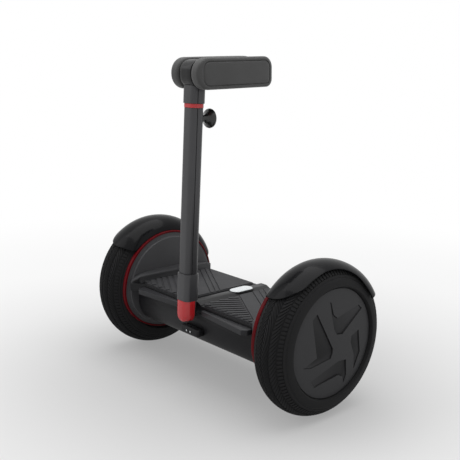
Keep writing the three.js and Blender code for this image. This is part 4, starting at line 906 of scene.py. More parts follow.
def hub_cover_mesh():
    """The wheel's cover: a slightly domed face with four sunk facets whose floors slope."""
    flat, edges, height = [], [], []

    def add_point(point, depth=0.0):
        flat.append(Vector(point))
        height.append(HUB_OUTER - hub_dome(math.hypot(*point)) - depth)

    def add_loop(points, depths):
        first, count = len(flat), len(points)
        for point, depth in zip(points, depths):
            add_point(point, depth)
        edges.extend((first + k, first + (k + 1) % count) for k in range(count))
        return first

    outlines = []
    for shares, depths, creases in FACETS:
        outline = [polar(HUB_RADIUS * share, math.radians(degrees)) for share, degrees in shares]
        outlines.append(outline)
        add_loop(outline, [0.0] * len(outline))
        floor = [FACET_LEAST + FACET_SCALE * depth for depth in depths]
        first = add_loop(inset_outline(outline, FACET_WALL), floor)
        edges.extend((first + a, first + b) for a, b in creases)
    for radius in RIM_CIRCLES:
        sunk = max(0.0, RIM_STEP - hub_dome(radius) + hub_dome(HUB_GROOVE)) if radius > HUB_GROOVE else 0.0
        add_loop(circle(radius, RIM_COUNT), [sunk] * RIM_COUNT)
    for radius, count in FACE_CIRCLES:
        for point in circle(radius, count):
            if not any(near_outline(point, outline, FACET_MARGIN) for outline in outlines):
                add_point(point)
    places, _, triangles, sources, *_ = delaunay_2d_cdt(flat, edges, [], 0, 1e-5)
    points = [(height[source[0]], p.x, p.y) for source, p in zip(sources, places)]
    face = mesh_of(points, [tuple(corners) for corners in triangles])
    rim = [(min(p[0] for p in points), HUB_RADIUS), (HUB_BACK, HUB_RADIUS - 0.4), (HUB_BACK, 0.0)]
    cover = merged(face, mesh_of(*turned(rim, RIM_COUNT)))
    with reworked(cover) as form:
        bmesh.ops.remove_doubles(form, verts=form.verts, dist=1e-6)
        bmesh.ops.recalc_face_normals(form, faces=form.faces)
    mark_sunk(cover)
    return cover


def mark_sunk(mesh):
    """Notes how deep each point of the cover lies, and which faces are the facets' walls, for the cover's
    painted shade.
    """
    deep = []
    for vertex in mesh.vertices:
        x, y, z = vertex.co / MM
        deep.append(max(0.0, HUB_OUTER - hub_dome(math.hypot(y, z)) - x))
    top, floor = 0.05, 0.3
    spans = [[deep[v] for v in face.vertices] for face in mesh.polygons]
    walls = [float(min(span) < top and max(span) > floor) for span in spans]
    for name, values, domain in (("sunk", deep, "POINT"), ("wall", walls, "FACE")):
        mesh.attributes.new(name, "FLOAT", domain).data.foreach_set("value", values)


def near_outline(point, outline, margin):
    """True if a point lies in an outline or within a margin of it."""
    inside = False
    place = Vector(point)
    for a, b in neighbours([Vector(corner) for corner in outline]):
        if (a.y > place.y) != (b.y > place.y):
            if place.x < (b.x - a.x) * (place.y - a.y) / (b.y - a.y) + a.x:
                inside = not inside
        span = b - a
        t = min(1.0, max(0.0, (place - a).dot(span) / span.length_squared))
        if (place - a - span * t).length < margin:
            return True
    return inside


def flank_form(profile, steps):
    """A closed profile turned about the axle, with its lower half flattened as the flanks are."""
    points, faces = turned(profile, steps, closed=True)
    return mesh_of([(x, y, z * 0.8 if z < 0 else z) for x, y, z in points], faces)


def flank_mesh():
    """The closing disc beside the wheel, with a deep step down toward the red ring."""
    edge, lip, bore = 1.6, 98.6, 9.0
    profile = [(FLANK_INNER, bore), *arc(FLANK_INNER + edge, lip, edge, edge, -90, 0, 6)]
    profile += [(FLANK_INNER + 6.4, lip + 2.0), (FLANK_INNER + 7, lip + 2.8)]
    profile += [(FLANK_INNER + 7, FLANK_RADIUS - 0.6), (FLANK_INNER + 7.6, FLANK_RADIUS)]
    profile += [(FLANK_OUTER, FLANK_RADIUS), (FLANK_OUTER, FLANK_RADIUS - 3)]
    profile += [(FLANK_INNER + 9, FLANK_RADIUS - 6), (FLANK_INNER + 9, bore)]
    return flank_form(profile, 128)


def red_ring_mesh():
    """The red ring round the flank, with two rounded rims."""
    edge = 1.6
    inner, outer = FLANK_RADIUS + CLEARANCE, FLANK_RADIUS + 3.9
    end = FLANK_OUTER + 2.2
    start = end - 8.0
    rims = [*arc(start + edge, outer - edge, edge, edge, -90, 0, 6)]
    rims += arc(end - edge, outer - edge, edge, edge, 0, 90, 6)
    return flank_form([(start, inner), *rims, (end, inner)], 144)


# How far round its section the fender's lip reaches, as shares of a right angle, from rear to front
LIP_PLACES = (0, 0.19, 0.36, 0.5, 0.66, 0.81, 0.93, 1)
LIP_SHARES = (0.98, 0.88, 0.68, 0.56, 0.51, 0.52, 0.49, 0.34)
FENDER_GAP = 4.0
FENDER_SECTION = 30.0
FENDER_HALF = 42.5
FENDER_WALL = 2.2
FENDER_REAR, FENDER_FRONT = 21, 140.5
FENDER_ROLL, FENDER_ROLL_START = 0.45, 0.93


def fender_mesh():
    """The fender: a thin shell over the tyre, its lip deep at the rear and cut back in front."""
    rows, columns = 72, 30
    base = TYRE_RADIUS + FENDER_GAP - FENDER_SECTION
    edge = FLANK_RADIUS + 4.2
    points = []
    for inset, drop in ((0.0, 1.8), (FENDER_WALL, 0.8)):
        for i in range(rows + 1):
            along = i / rows
            lip = spline(LIP_PLACES, LIP_SHARES, along) * math.pi / 2
            depth = FENDER_SECTION - inset - drop * (1 - along) ** 2
            start = -math.acos((edge - base) / depth)
            for j in range(columns + 1):
                across = j / columns
                a = start + (lip - start) * across
                late = max(0.0, across - FENDER_ROLL_START) / (1 - FENDER_ROLL_START)
                roll = FENDER_ROLL * late if inset else 0.0
                x = WHEEL_X + (FENDER_HALF - inset - roll) * math.sin(a)
                radius = base + (depth - roll) * math.cos(a)
                rear = FENDER_REAR + 15 * across
                front = FENDER_FRONT - 8.5 * across**7 - 5 * (1 - across) ** 3
                points.append((x, *polar(radius, math.radians(rear + (front - rear) * along))))
    width = columns + 1
    size = (rows + 1) * width
    skin = grid_faces(rows + 1, width)
    faces = skin + [tuple(size + k for k in reversed(face)) for face in skin]
    rim = [*range(columns), *range(columns, size - 1, width)]
    rim += [*range(size - 1, size - width, -1), *range(size - width, 0, -width)]
    faces += [(a, size + a, size + b, b) for a, b in neighbours(rim)]
    return bevelled(mesh_of(points, faces), 0.0007, 2, 50)


# Deck

# The section of the opening in a cheek's nose, Y and the height above the deck, and its depth along X
NOSE_POCKET = (
    (-104, 1.0), (-84, 1.0), (-84, 11.4), (-85.4, 12.4),
    (-90.2, 11.4), (-96.4, 6.9), (-99.4, 3.6), (-104, 3.6),
)
NOSE_SPAN = (CHEEK_INNER - 1, CHEEK_INNER + 9.8)
LENS_HALF, LENS_FRONT, LENS_REAR = 12.5, 7.5, 58.5
MAT_BOX = (21.0, 162.0, -79.0, 86.0)
MAT_BORDER = 1.6
MAT_BOTTOM = 150.6
MAT_CORNER = 5.0
ACROSS = Vector((0.534, 0.8455))
BEYOND = 999.0
# Each mat's smooth fields, and the end of its ribs, measured across the slanting grooves
FIELDS = {
    "right": ((18.0, 45.4), (47.4, 58.3), (60.4, 68.8), (70.8, BEYOND)),
    "left": ((-62.0, -35.0), (-33.0, -24.4), (-22.2, -15.0), (-12.8, BEYOND)),
}
RIBS_END = {"right": 15.8, "left": -64.2}
RIBS_MOST = 24
RIB_SHORTEST = 4


def nose_pocket(side):
    """The opening under the lip that curls round a cheek's nose."""
    turn = SIDES[side]
    rings = [[(turn * x, y, DECK_TOP + z) for y, z in NOSE_POCKET] for x in NOSE_SPAN]
    return stacked(rings if turn > 0 else rings[::-1])


def clipped_line(point, direction, polygon):
    """The part of a line inside a convex polygon, or None."""
    low, high = -math.inf, math.inf
    for a, b in neighbours([Vector(corner) for corner in polygon]):
        normal = Vector((-(b - a).y, (b - a).x))
        gap, rate = (point - a).dot(normal), direction.dot(normal)
        if abs(rate) < 1e-9:
            if gap < 0:
                return None
        elif rate > 0:
            low = max(low, -gap / rate)
        else:
            high = min(high, -gap / rate)
    return (point + direction * low, point + direction * high) if high - low > RIB_SHORTEST else None


def field_between(side, low, high):
    """The part of a mat's field between two slanting lines."""
    x0, x1, y0, y1 = MAT_BOX
    x0, x1, y0, y1 = x0 + MAT_BORDER, x1 - MAT_BORDER, y0 + MAT_BORDER, y1 - MAT_BORDER
    points = [Vector((SIDES[side] * x, y)) for x, y in ((x0, y0), (x1, y0), (x1, y1), (x0, y1))]
    for sign, limit in ((1, low), (-1, -high)):
        kept = []
        for here, after in neighbours(points):
            a, b = sign * here.dot(ACROSS) - limit, sign * after.dot(ACROSS) - limit
            if a >= 0:
                kept.append(here)
            if a * b < 0:
                kept.append(here.lerp(after, a / (a - b)))
        points = kept
    area = sum(a.cross(b) for a, b in neighbours(points))
    return [tuple(p) for p in (points if area > 0 else reversed(points))]


def land_mesh(outline, bottom, top, edge=0.55):
    """A flat raised field with chamfered sides."""
    rings = ((0.0, bottom), (0.1, top - edge), (edge, top))
    return stacked(levels([(inset_outline(outline, inset), z) for inset, z in rings]))


def foot_mat_mesh(side):
    """A mat: a slab with a border, a smooth band, stripes, a large field and a ribbed corner."""
    size = sizes()
    relief, pitch = size.rib_height / MM, size.rib_pitch / MM
    floor = MAT_TOP - relief
    x0, x1, y0, y1 = MAT_BOX
    if side == "left":
        x0, x1 = -x1, -x0
    rings = [
        (rounded_outline(x0 + inset, x1 - inset, y0 + inset, y1 - inset, MAT_CORNER - inset, 6), z)
        for inset, z in ((0.0, MAT_BOTTOM), (0.0, floor - 0.9), (0.3, floor - 0.3), (0.9, floor))
    ]
    forms = [stacked(levels(rings))]
    forms += [land_mesh(field_between(side, low, high), floor - 0.3, MAT_TOP) for low, high in FIELDS[side]]
    ribbed = field_between(side, -BEYOND, RIBS_END[side])
    along = Vector((ACROSS.y, -ACROSS.x))
    run, step = (ACROSS, along) if side == "right" else (along, ACROSS)
    middle = (MAT_TOP - relief / 2) * MM
    points, edges = [], []
    for k in range(-RIBS_MOST, RIBS_MOST):
        found = clipped_line(step * (pitch * (k + 0.5)), run, ribbed)
        if found:
            edges.append((len(points), len(points) + 1))
            points += [(p.x * MM, p.y * MM, middle) for p in found]
    lines = bpy.data.meshes.new("rib_lines")
    lines.from_pydata(points, edges, [])
    tree = tree_named("Mat ribs", {"Width": "Float", "Height": "Float"}, "foot_mat", ribs_along)
    return merged(*forms, grown(lines, tree, {"Width": size.rib_width, "Height": size.rib_height}))


def lens_ring(inset):
    """The lens's outline, drawn in by a length."""
    half = LENS_HALF - inset
    return rounded_outline(-half, half, LENS_FRONT + inset, LENS_REAR - inset, half, 12)


def lens_mesh():
    """The milky lens, a crowned bar with round ends."""
    rings = ((0, 148.9), (0, 157.9), (0.3, 158.5), (0.9, 158.9), (2.2, 159.1), (6.5, 159.2))
    return stacked(levels([(lens_ring(inset), z) for inset, z in rings]))


def spine_mesh():
    """The spine between the mats: a ridge with sloping sides and a bezel round the light."""
    section = [(-17.4, 150.4), (-17.4, 152.8), (-16.6, 153.3), (-8.2, 157.3), (-7.2, 157.7)]
    section += [(-x, z) for x, z in reversed(section)]
    front, rear = (corner[1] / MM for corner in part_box("spine_cover"))
    ends = ((front, 1.2), (front + 0.5, 0.3), (front + 1.4, 0.0), (rear - 1.4, 0.0), (rear, 1.0))
    rings = [[(x, y, z - drop if z > DECK_TOP else z) for x, z in section] for y, drop in ends]
    bezel = ((-2.4, 152.4), (-2.2, 157.4), (-1.7, 158.2), (-0.4, 158.5), (-0.3, 153))
    return merged(stacked(rings), stacked(levels([(lens_ring(inset), z) for inset, z in bezel])))


# Steering bar and head

STEM_SECTION = (34.5, 31.0)
POLE_SECTION = (31.0, 27.5)
BAND_SECTION = (31.8, 28.3)
COLLAR_SECTION = (34.0, 30.5)
COLLAR_TOP = HEAD_HEIGHT - 20
TUBE_CORNER = 10.0
FOOT_CORNER = 14.4
FOOT_START = 6.5
CAP_SECTION = (35.3, 31.8)
CAP_CORNER = 14.5
CAP_BACK = 4.0
CAP_BOTTOM = -10.2
CAP_TOP = 30.0
# Heights along the bar of the stem's rings, each with how far it is drawn in
STEM_RINGS = (
    (STEM_TOP, 0.8), (STEM_TOP - 0.25, 0.25),
    *((z, 0) for z in (STEM_TOP - 0.8, CAP_TOP + 0.6, CAP_TOP + CLEARANCE)),
    *((z, 0.5) for z in (CAP_TOP + CLEARANCE, CAP_TOP, FOOT_START, 3, 0, -3, -5.5, -7.4, -8.6)),
)
# Heights along the bar of the cap's rings, each with the share of its full size
CAP_RINGS = (
    (CAP_TOP, 0.97), (CAP_TOP - 0.2, 0.99), (CAP_TOP - 0.7, 1.0),
    *((z, 1.0) for z in (18, 10, FOOT_START, 4.5, 2, -0.5, -3, -5, -6.8, -8.2, -9.2, -9.8)),
    (CAP_BOTTOM + 0.1, 1.0),
)


def tube_outline(width, depth, corner=TUBE_CORNER, steps=10):
    corner = min(corner, width / 2 - 0.3, depth / 2 - 0.3)
    return rounded_outline(-width / 2, width / 2, -depth / 2, depth / 2, corner, steps)


def grooved_outline(width, depth):
    """The bar's section with a fine groove near each front corner."""
    y = TUBE_CORNER - depth / 2
    result = []
    for point in tube_outline(width, depth):
        if abs(abs(point[0]) - width / 2) < 1e-6 and abs(point[1] - y) < 1e-6:
            sign = math.copysign(1, point[0])
            for step, sink in ((-0.9, 0.0), (-0.7, 1.3), (0.7, 1.3), (0.9, 0.0)):
                result.append((sign * (width / 2 - sink), y + sign * step))
        else:
            result.append(point)
    return result


def on_bar(mesh):
    return transformed(mesh, BAR_PLACE)


def foot_share(z):
    """How far the bar's foot is drawn in at a height along the bar, toward its round end."""
    reach = min(1.0, max(0.0, (FOOT_START - z) / (FOOT_START - CAP_BOTTOM)))
    return (1 - reach**2.3) ** 0.5 if reach < 1 else 0.0


def stem_mesh():
    """The stem under the pole, with a round foot inside the cap."""
    rings = []
    for z, inset in STEM_RINGS:
        share = foot_share(z) * 0.97 if z < CAP_TOP else 1.0
        width, depth = (side - 2 * inset for side in STEM_SECTION)
        ring = tube_outline(width, depth, TUBE_CORNER if z > CAP_TOP else FOOT_CORNER)
        rings.append([(x * max(share, 0.12), y * (0.45 + 0.55 * share), z) for x, y in ring])
    return stacked(rings[::-1])


def cap_mesh():
    """The red cap over the front of the stem's foot, U-shaped from the front and rounded below."""
    half = CAP_SECTION[0] / 2
    section = [p for p in tube_outline(*CAP_SECTION, CAP_CORNER, 14) if p[1] < 1.0]
    section = sorted(section, key=lambda p: math.atan2(p[0], -p[1]))
    section = [(-half, CAP_BACK), *section, (half, CAP_BACK)]
    rings = []
    for z, size in CAP_RINGS:
        share = foot_share(z)
        deep = (0.62 + 0.38 * share) * size
        rings.append([(x * share * size, CAP_BACK + (y - CAP_BACK) * deep, z) for x, y in section])
    return stacked(rings[::-1])


def pole_mesh():
    """The pole with the boss that the clamp knob's stud goes through."""
    pole = extruded(grooved_outline(*POLE_SECTION), STEM_TOP + CLEARANCE, POLE_TOP, 0.5)
    boss = mesh_of(*turned([(13, 0), (13, 8), (16.2, 8), (16.75, 7.4), (16.75, 0)], 40))
    return merged(pole, transformed(boss, KNOB_PLACE))


PAD_FRONT = -25.0
PAD_LENGTH = 180.5
PAD_HALF = 27.0
PAD_CORNERS = (26.5, 14, 20, 26.5)
PAD_EDGE = 5.5


def pad_ring(x, inset):
    """One ring of the pad's outline, drawn in and, toward the outside, rounder at its two ends."""
    reach = (x - PAD_START) / PAD_THICKNESS
    rear = PAD_FRONT + PAD_LENGTH - inset - 10 * reach * reach
    front = PAD_FRONT + inset * 2.0
    half = PAD_HALF - inset
    shrink = [inset * share for share in (2, 1, 1, 2)]
    radii = [min(max(corner - less, 3.0), half - 0.05) for corner, less in zip(PAD_CORNERS, shrink)]
    return [(x, y, z) for y, z in subdivided(rounded_outline(front, rear, -half, half, radii, 10))]


def subdivided(outline):
    """An outline whose four sides carry extra points, equally many on every ring."""
    quarter = len(outline) // 4
    result = []
    for k in range(4):
        corner = outline[k * quarter : (k + 1) * quarter]
        result += corner
        a, b = corner[-1], outline[((k + 1) * quarter) % len(outline)]
        extra = 24 if k in (0, 2) else 5
        for m in range(1, extra + 1):
            t = m / (extra + 1)
            result.append((a[0] + (b[0] - a[0]) * t, a[1] + (b[1] - a[1]) * t))
    return result


def pad_mesh():
    """A knee pad: flat inside, drawn-in side, soft border, a sewn channel and a crowned panel."""
    seam = sizes().seam_depth / MM
    flat = PAD_START + PAD_THICKNESS - 1.9
    side = ((0, 3.4), (0.7, 1.6), (2.6, 0.5), (5, 0.1), (8.5, 0.0))
    channel = ((0, 0.05, 5.4), (0.35, 0, 5.9), (0.9, 0, 6.4), (1, 0, 6.8), (0.6, 0, 7.3), (0, 0, 7.9))
    panel = (
        (0.25, 8.8), (0.45, 10.5), (0.65, 13), (0.85, 16), (1.0, 19), (1.1, 22), (1.15, 25), (1.15, 26.6),
    )
    rings = [(PAD_START + x, inset) for x, inset in side]
    rings.append((flat - PAD_EDGE - 1, 0.0))
    for a in map(math.radians, range(12, 85, 12)):
        rings.append((flat - PAD_EDGE + PAD_EDGE * math.sin(a), PAD_EDGE * (1 - math.cos(a))))
    rings += [(flat - seam * share - less, inset) for share, less, inset in channel]
    rings += [(flat + x, inset) for x, inset in panel]
    return swollen(stacked([pad_ring(x, inset) for x, inset in rings]))


CLOTH_FRAMES = 20
CLOTH_VOXEL = 0.005
CLOTH_PRESSURE = 4.0
CLOTH_NEAREST = 8
CLOTH_BLUR = 0.002
PAD_HELD = (1, 10)


def swollen(mesh):
    """A pad moved as cloth under pressure moves its skin, capped and held where it is flat inside."""
    most = sizes().pad_swell
    if most <= 0:
        return mesh
    scene = bpy.context.scene
    even = modified(mesh.copy(), "REMESH", mode="VOXEL", voxel_size=CLOTH_VOXEL)
    before = [vertex.co.copy() for vertex in even.vertices]
    skin = in_scene("working", even)
    cloth = skin.modifiers.new("Skin", "CLOTH").settings
    cloth.use_pressure = True
    cloth.uniform_pressure_force = CLOTH_PRESSURE
    cloth.effector_weights.gravity = 0.0
    for number in range(1, CLOTH_FRAMES + 1):
        scene.frame_set(number)
    after = [vertex.co.copy() for vertex in evaluated(skin).vertices]
    scene.frame_set(1)
    tree = KDTree(len(before))
    for k, place in enumerate(before):
        tree.insert(place, k)
    tree.balance()
    for vertex in mesh.vertices:
        total, move = 0.0, Vector()
        for _, k, distance in tree.find_n(vertex.co, CLOTH_NEAREST):
            share = 1 / (distance + CLOTH_BLUR)
            move += (after[k] - before[k]) * share
            total += share
        move /= total
        if move.length > most:
            move *= most / move.length
        free = (vertex.co.x / MM - PAD_START - PAD_HELD[0]) / (PAD_HELD[1] - PAD_HELD[0])
        vertex.co += move * min(1.0, max(0.0, free))
    return mesh


def knob_mesh():
    """The clamp knob: a stud, a flared neck and a round head with grips."""
    seat, end = 17.05, 40.75
    profile = [(15.0, 0.0), (15.0, 4.0), (seat, 4.0), (seat, 5.2), (seat + 0.8, 6.0), (22, 6.0)]
    profile += [(25.5, 7.2), (28.5, 9.8), (30.5, 13.1), (32.2, 15.5), (34.2, 16.9), (36.4, 17.3)]
    profile += [(38.4, 16.7), (39.8, 14.9), (40.4, 12.9), (40.5, 11.8), (39.6, 10.9), (39.7, 9.6)]
    profile += [(end - 0.1, 6.0), (end, 0.0)]
    side = ((31.6, 14.0), (34.2, 16.5), (36.8, 17.1), (38.6, 15.7), (37, 13.0))
    grip = bevelled(stacked([[(along, out, w) for along, out in side] for w in (-0.9, 0.9)]), 0.0004, 2)
    knob = merged(mesh_of(*turned(profile, 64)), repeated(grip, sizes().grip_count))
    return transformed(knob, BAR_PLACE @ KNOB_PLACE)


CORE_FRONT, CORE_REAR, CORE_HALF = -23.5, 142.5, 23.5
CORE_CORNERS = (20, 12, 12, 20)
CORE_RINGS = (
    (-17.3, 7.0), (-12.9, 7.0), (-12.7, 2.0), (-12.1, 0.6), (-10.9, 0.0), (-6, 0.0),
    (6, 0.0), (15.2, 0.0), (16.4, 0.4), (16.9, 1.4), (17.0, 4.0), (17.3, 4.0),
)


def head_core_mesh():
    """The glossy core between the pads, its edges rounded toward them."""
    rings = []
    for x, inset in CORE_RINGS:
        half = CORE_HALF - inset
        radii = [corner - inset for corner in CORE_CORNERS]
        outline = rounded_outline(CORE_FRONT + inset, CORE_REAR - inset, -half, half, radii, 12)
        rings.append([(x, y, z) for y, z in outline])
    return stacked(rings)


# Operators


class SCOOTER_OT_tyres(bpy.types.Operator):
    """Build both tyres with their tread"""

    bl_idname = "scooter.tyres"
    bl_label = "Tyres"

    def execute(self, context):
        for side in SIDES:
            mesh = wheel_placed(tyre_mesh(), side)
            piece(f"{side}_tyre_tread", mesh, f"{side}_wheel", "tyre", [f"{side}_tyre"])
        return {"FINISHED"}


class SCOOTER_OT_hub_covers(bpy.types.Operator):
    """Build both wheel covers with their sunk facets"""

    bl_idname = "scooter.hub_covers"
    bl_label = "Hub covers"

    def execute(self, context):
        for side in SIDES:
            mesh = wheel_placed(hub_cover_mesh(), side)
            piece(f"{side}_wheel_cover", mesh, f"{side}_wheel", "hub_cover", [f"{side}_hub_cover"], 9.0)
        return {"FINISHED"}


class SCOOTER_OT_flanks(bpy.types.Operator):
    """Build the flanks, the red rings and the fenders"""

    bl_idname = "scooter.flanks"
    bl_label = "Flanks and fenders"

    def execute(self, context):
        raised = Matrix.Translation((0, 0, TYRE_RADIUS))
        for side in SIDES:
            for name, maker, slot, finish in (
                ("flank", flank_mesh, "shell", "trim"),
                ("red_ring", red_ring_mesh, "red_trim", "ring"),
                ("fender", fender_mesh, "fender", "fender"),
            ):
                mesh = transformed(mirrored(maker(), side), raised)
                piece(f"{side}_{name}_trim", mesh, "scooter_body", slot, [f"{side}_{name}"], finish=finish)
        return {"FINISHED"}


class SCOOTER_OT_body(bpy.types.Operator):
    """Build the deck, the tub, the spine cover and the front rails"""

    bl_idname = "scooter.body"
    bl_label = "Body shells"

    def execute(self, context):
        deck = softened("upper_deck")
        for side in SIDES:
            deck = carved(deck, nose_pocket(side))
        deck = bevelled(deck, 0.0006, 2, 40)
        piece("deck_shell", deck, "scooter_body", "shell", ["upper_deck"], finish="deck")
        piece("tub_shell", softened("lower_shell", 0.0008), "scooter_body", "shell", ["lower_shell"])
        piece("spine_strip", spine_mesh(), "scooter_body", "spine", ["spine_cover"])
        piece("pivot_block", softened("pivot_cover", 0.004, 4), "scooter_body", "shell", ["pivot_cover"])
        for side in SIDES:
            rail = softened(f"{side}_front_rail", 0.0028, 4)
            piece(f"{side}_rail", rail, "scooter_body", "shell", [f"{side}_front_rail"], 50, "rail")
        return {"FINISHED"}


class SCOOTER_OT_foot_mats(bpy.types.Operator):
    """Build both foot mats with their band, stripes and ribs"""

    bl_idname = "scooter.foot_mats"
    bl_label = "Foot mats"

    def execute(self, context):
        for side in SIDES:
            piece(f"{side}_mat", foot_mat_mesh(side), "scooter_body", "foot_mat", [f"{side}_foot_mat"])
        return {"FINISHED"}


class SCOOTER_OT_light(bpy.types.Operator):
    """Build the white status light"""

    bl_idname = "scooter.light"
    bl_label = "Status light"

    def execute(self, context):
        piece("light_lens", lens_mesh(), "scooter_body", "light_lens", ["status_light"], 60)
        return {"FINISHED"}


class SCOOTER_OT_steering(bpy.types.Operator):
    """Build the stem, its red cap, the pole, its band, the collar and the knob"""

    bl_idname = "scooter.steering"
    bl_label = "Steering bar"

    def execute(self, context):
        band = extruded(tube_outline(*BAND_SECTION), POLE_TOP + CLEARANCE, COLLAR_BOTTOM - CLEARANCE, 0.5)
        collar = extruded(grooved_outline(*COLLAR_SECTION), COLLAR_BOTTOM, COLLAR_TOP, 0.6)
        piece("stem_sleeve", on_bar(stem_mesh()), "steering_bar", "pole", ["steering_stem"])
        piece("red_cap", on_bar(cap_mesh()), "steering_bar", "red_trim", ["stem_cap"])
        piece("pole_sleeve", on_bar(pole_mesh()), "steering_bar", "pole", ["pole_tube"])
        piece("red_band", on_bar(band), "steering_bar", "red_trim", ["pole_band"])
        piece("collar_sleeve", on_bar(collar), "head", "pole", ["head_collar"])
        piece("round_knob", knob_mesh(), "clamp", "gloss_black", ["clamp_knob"])
        return {"FINISHED"}


class SCOOTER_OT_head(bpy.types.Operator):
    """Build the head's core and both knee pads"""

    bl_idname = "scooter.head"
    bl_label = "Head and knee pads"

    def execute(self, context):
        core = transformed(head_core_mesh(), HEAD_PLACE)
        piece("head_hub", core, "head", "gloss_black", ["head_core"], finish="core")
        for side in SIDES:
            mesh = transformed(mirrored(pad_mesh(), side), HEAD_PLACE)
            pad = piece(f"{side}_pad", mesh, "head", "knee_pad", [f"{side}_knee_pad"], 60)
        return {"FINISHED"}


class SCOOTER_OT_finishes(bpy.types.Operator):
    """Give every CAD node that stays its finish"""

    bl_idname = "scooter.finishes"
    bl_label = "Inner parts"

    def execute(self, context):
        for name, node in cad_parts.items():
            node.data.materials.clear()
            node.data.materials.append(finish_named(node_slot(name)))
        return {"FINISHED"}


# The record's slots, each with the last words of its nodes' names
NODE_ENDINGS = {
    "tyre": ("tyre",),
    "hub_cover": ("hub_cover",),
    "shell": ("flank", "front_rail", "lower_shell", "battery_cover", "upper_deck", "pivot_cover"),
    "red_trim": ("red_ring", "stem_cap", "pole_band"),
    "fender": ("fender",),
    "foot_mat": ("foot_mat",),
    "sensor_film": ("pedal_sensor",),
    "steel": ("axle", "bearing", "cover_screw", "pivot_shaft"),
    "stator_core": ("stator",),
    "cast_aluminium": ("rim", "motor_cover", "main_frame", "pivot_housing"),
    "magnets": ("magnet_ring",),
    "battery": ("battery_pack",),
    "circuit_board": ("control_board",),
    "spine": ("spine_cover",),
    "light_lens": ("status_light",),
    "soft_rubber": ("return_bush", "charge_port", "charge_cap"),
    "gloss_black": ("power_button", "clamp_knob", "head_core"),
    "pole": ("steering_stem", "pole_tube", "head_collar"),
    "anodised_aluminium": ("inner_tube",),
    "knee_pad": ("knee_pad",),
}


def node_slot(name):
    """The record's slot of a CAD node, by the last words of its name."""
    for slot, endings in NODE_ENDINGS.items():
        if name.endswith(endings):
            return slot
    raise ValueError(f"no finish is named for {name}")


# Studio

FLOOR_REACH = 12.0
FLOOR_DROP = 0.0005
PHOTO_WIDTH = 460
PHOTO_FOCAL = 783.48
CAMERA_SHIFT = (0.0013, -0.0112)
CAMERA_ROLL = math.radians(1.06)
CAMERA_TARGET = (-0.00062, 0, 0.28815)
SENSOR_WIDTH = 36.0
# Each lamp's place, target, size and share of the key light's power
LAMPS = {
    "key_light": ((-1.3, -1.6, 2.0), (0, 0, 0.25), (1.8, 1.8), 1.3),
    "top_light": ((0.0, 0.2, 2.6), (0, 0, 0.1), (3.0, 2.4), 4.6),
    "side_light": ((2.0, 0.5, 1.3), (0.1, 0, 0.25), (0.9, 1.4), 0.05),
}


def seen_rays(nodes):
    """1 on the rays that show the background: straight, mirrored or through a clear part."""
    path = nodes.add("ShaderNodeLightPath")
    seen = path.out("Is Camera Ray")
    for name in ("Is Glossy Ray", "Is Transmission Ray"):
        seen = seen.math("MAXIMUM", seen, path.out(name))
    return seen


@finish_maker
def pale_floor(nodes, place):
    """A pale floor that meets a white backdrop far behind, with the object's shadow kept and a painted shadow
    that greys it round the middle.
    """
    x, y, _ = nodes.axes(place)
    distance = nodes.distance(x, y)
    far = distance.step(0.5, 1.6)
    pale = nodes.mix(nodes.noise(place, 3.0), tint("e9e9e9"), tint("ececec"))
    # Painted shadow: the floor's colour and the glow that the camera sees grey toward the middle, under the
    # scooter
    base = nodes.mix(distance.step(0.05, 0.55), tint("c9c9c9"), pale)
    glow = nodes.mix(distance.step(0.1, 0.85), tint("cacaca"), (1, 1, 1))
    nodes.blend(
        far + seen_rays(nodes) * (1 - far) * 0.5,
        nodes.add("ShaderNodeBsdfDiffuse", inputs={"Color": base}),
        nodes.add("ShaderNodeEmission", inputs={"Color": glow, "Strength": 1.0}),
        "ShaderNodeOutputMaterial",
    )


def area_light(name, place, target, size, power):
    lamp = bpy.data.lights.new(name, "AREA")
    lamp.shape = "RECTANGLE"
    lamp.size, lamp.size_y = size
    lamp.energy = power
    obj = in_scene(name, lamp)
    obj.location = place
    obj.rotation_euler = (Vector(target) - Vector(place)).to_track_quat("-Z", "Y").to_euler()


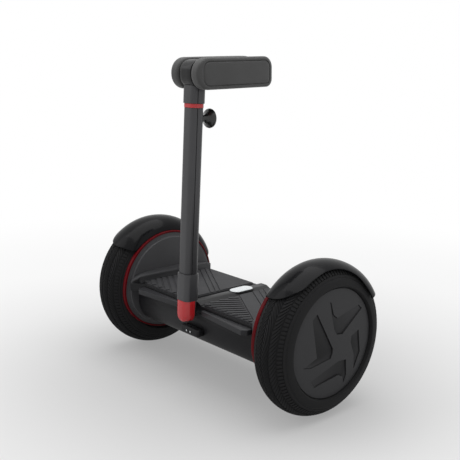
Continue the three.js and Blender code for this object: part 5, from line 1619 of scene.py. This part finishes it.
class SCOOTER_OT_stage(bpy.types.Operator):
    """Set up the pale floor, the soft lights and the camera"""

    bl_idname = "scooter.stage"
    bl_label = "Stage"

    def execute(self, context):
        scene = bpy.context.scene
        studio = scene.scooter_studio
        mesh = bpy.data.meshes.new("floor")
        corners = ((-1, -1), (1, -1), (1, 1), (-1, 1))
        points = [(x * FLOOR_REACH, y * FLOOR_REACH, -FLOOR_DROP) for x, y in corners]
        mesh.from_pydata(points, [], [(0, 1, 2, 3)])
        mesh.materials.append(pale_floor("pale_floor"))
        floor = in_scene("floor", mesh)
        self.surround(scene, studio.world_level)
        for name, (place, target, size, share) in LAMPS.items():
            area_light(name, place, target, size, share * studio.key_power)
        self.aim_camera(scene, studio)
        scene.view_settings.view_transform = "Standard"
        return {"FINISHED"}

    @staticmethod
    def surround(scene, level):
        """Light from all round at a level, in front of a white background."""
        world = bpy.data.worlds.new("studio")
        scene.world = world
        world.use_nodes = True
        world.node_tree.nodes.clear()
        nodes = Nodes(world.node_tree)
        lit, white = (
            nodes.add("ShaderNodeBackground", inputs={"Color": (1, 1, 1, 1), "Strength": strength})
            for strength in (level, 1.0)
        )
        nodes.blend(seen_rays(nodes), lit, white, "ShaderNodeOutputWorld")

    @staticmethod
    def aim_camera(scene, studio):
        """Sets the camera to the photograph's view."""
        azimuth, elevation = studio.azimuth, studio.elevation
        flat = math.cos(elevation)
        back = Vector((math.sin(azimuth) * flat, -math.cos(azimuth) * flat, math.sin(elevation)))
        right = Vector((math.cos(azimuth), math.sin(azimuth), 0))
        up = back.cross(right)
        axes = (
            right * math.cos(CAMERA_ROLL) + up * math.sin(CAMERA_ROLL),
            up * math.cos(CAMERA_ROLL) - right * math.sin(CAMERA_ROLL),
            back,
            Vector(CAMERA_TARGET) + back * studio.distance,
        )
        lens = bpy.data.cameras.new("camera")
        lens.sensor_width = SENSOR_WIDTH
        lens.lens = PHOTO_FOCAL / PHOTO_WIDTH * SENSOR_WIDTH
        lens.shift_x, lens.shift_y = CAMERA_SHIFT
        camera = in_scene("camera", lens)
        camera.matrix_world = Matrix([[axis[i] for axis in axes] for i in range(3)] + [(0, 0, 0, 1)])
        scene.camera = camera


OPERATORS = (
    SCOOTER_OT_finishes,
    SCOOTER_OT_tyres,
    SCOOTER_OT_hub_covers,
    SCOOTER_OT_flanks,
    SCOOTER_OT_body,
    SCOOTER_OT_foot_mats,
    SCOOTER_OT_light,
    SCOOTER_OT_steering,
    SCOOTER_OT_head,
    SCOOTER_OT_stage,
)


class SCOOTER_PT_panel(bpy.types.Panel):
    """The scooter's building steps, sizes and colours."""

    bl_idname = "SCOOTER_PT_panel"
    bl_label = "Scooter"
    bl_space_type = "VIEW_3D"
    bl_region_type = "UI"
    bl_category = "Scooter"

    def draw(self, context):
        layout = self.layout
        for group in ("scooter_colours", "scooter_sizes", "scooter_studio"):
            settings = getattr(context.scene, group)
            box = layout.box()
            for name in settings.__annotations__:
                box.prop(settings, name)
        for operator in OPERATORS:
            layout.operator(operator.bl_idname)


CLASSES = (ScooterColours, ScooterSizes, ScooterStudio, *OPERATORS, SCOOTER_PT_panel)


def register():
    for cls in CLASSES:
        bpy.utils.register_class(cls)
    bpy.types.Scene.scooter_colours = PointerProperty(type=ScooterColours)
    bpy.types.Scene.scooter_sizes = PointerProperty(type=ScooterSizes)
    bpy.types.Scene.scooter_studio = PointerProperty(type=ScooterStudio)


def unregister():
    del bpy.types.Scene.scooter_colours, bpy.types.Scene.scooter_sizes, bpy.types.Scene.scooter_studio
    for cls in reversed(CLASSES):
        bpy.utils.unregister_class(cls)


def main():
    register()
    for operator in OPERATORS:
        getattr(bpy.ops.scooter, operator.bl_idname.split(".")[1])()


if __name__ == "__main__":
    main()
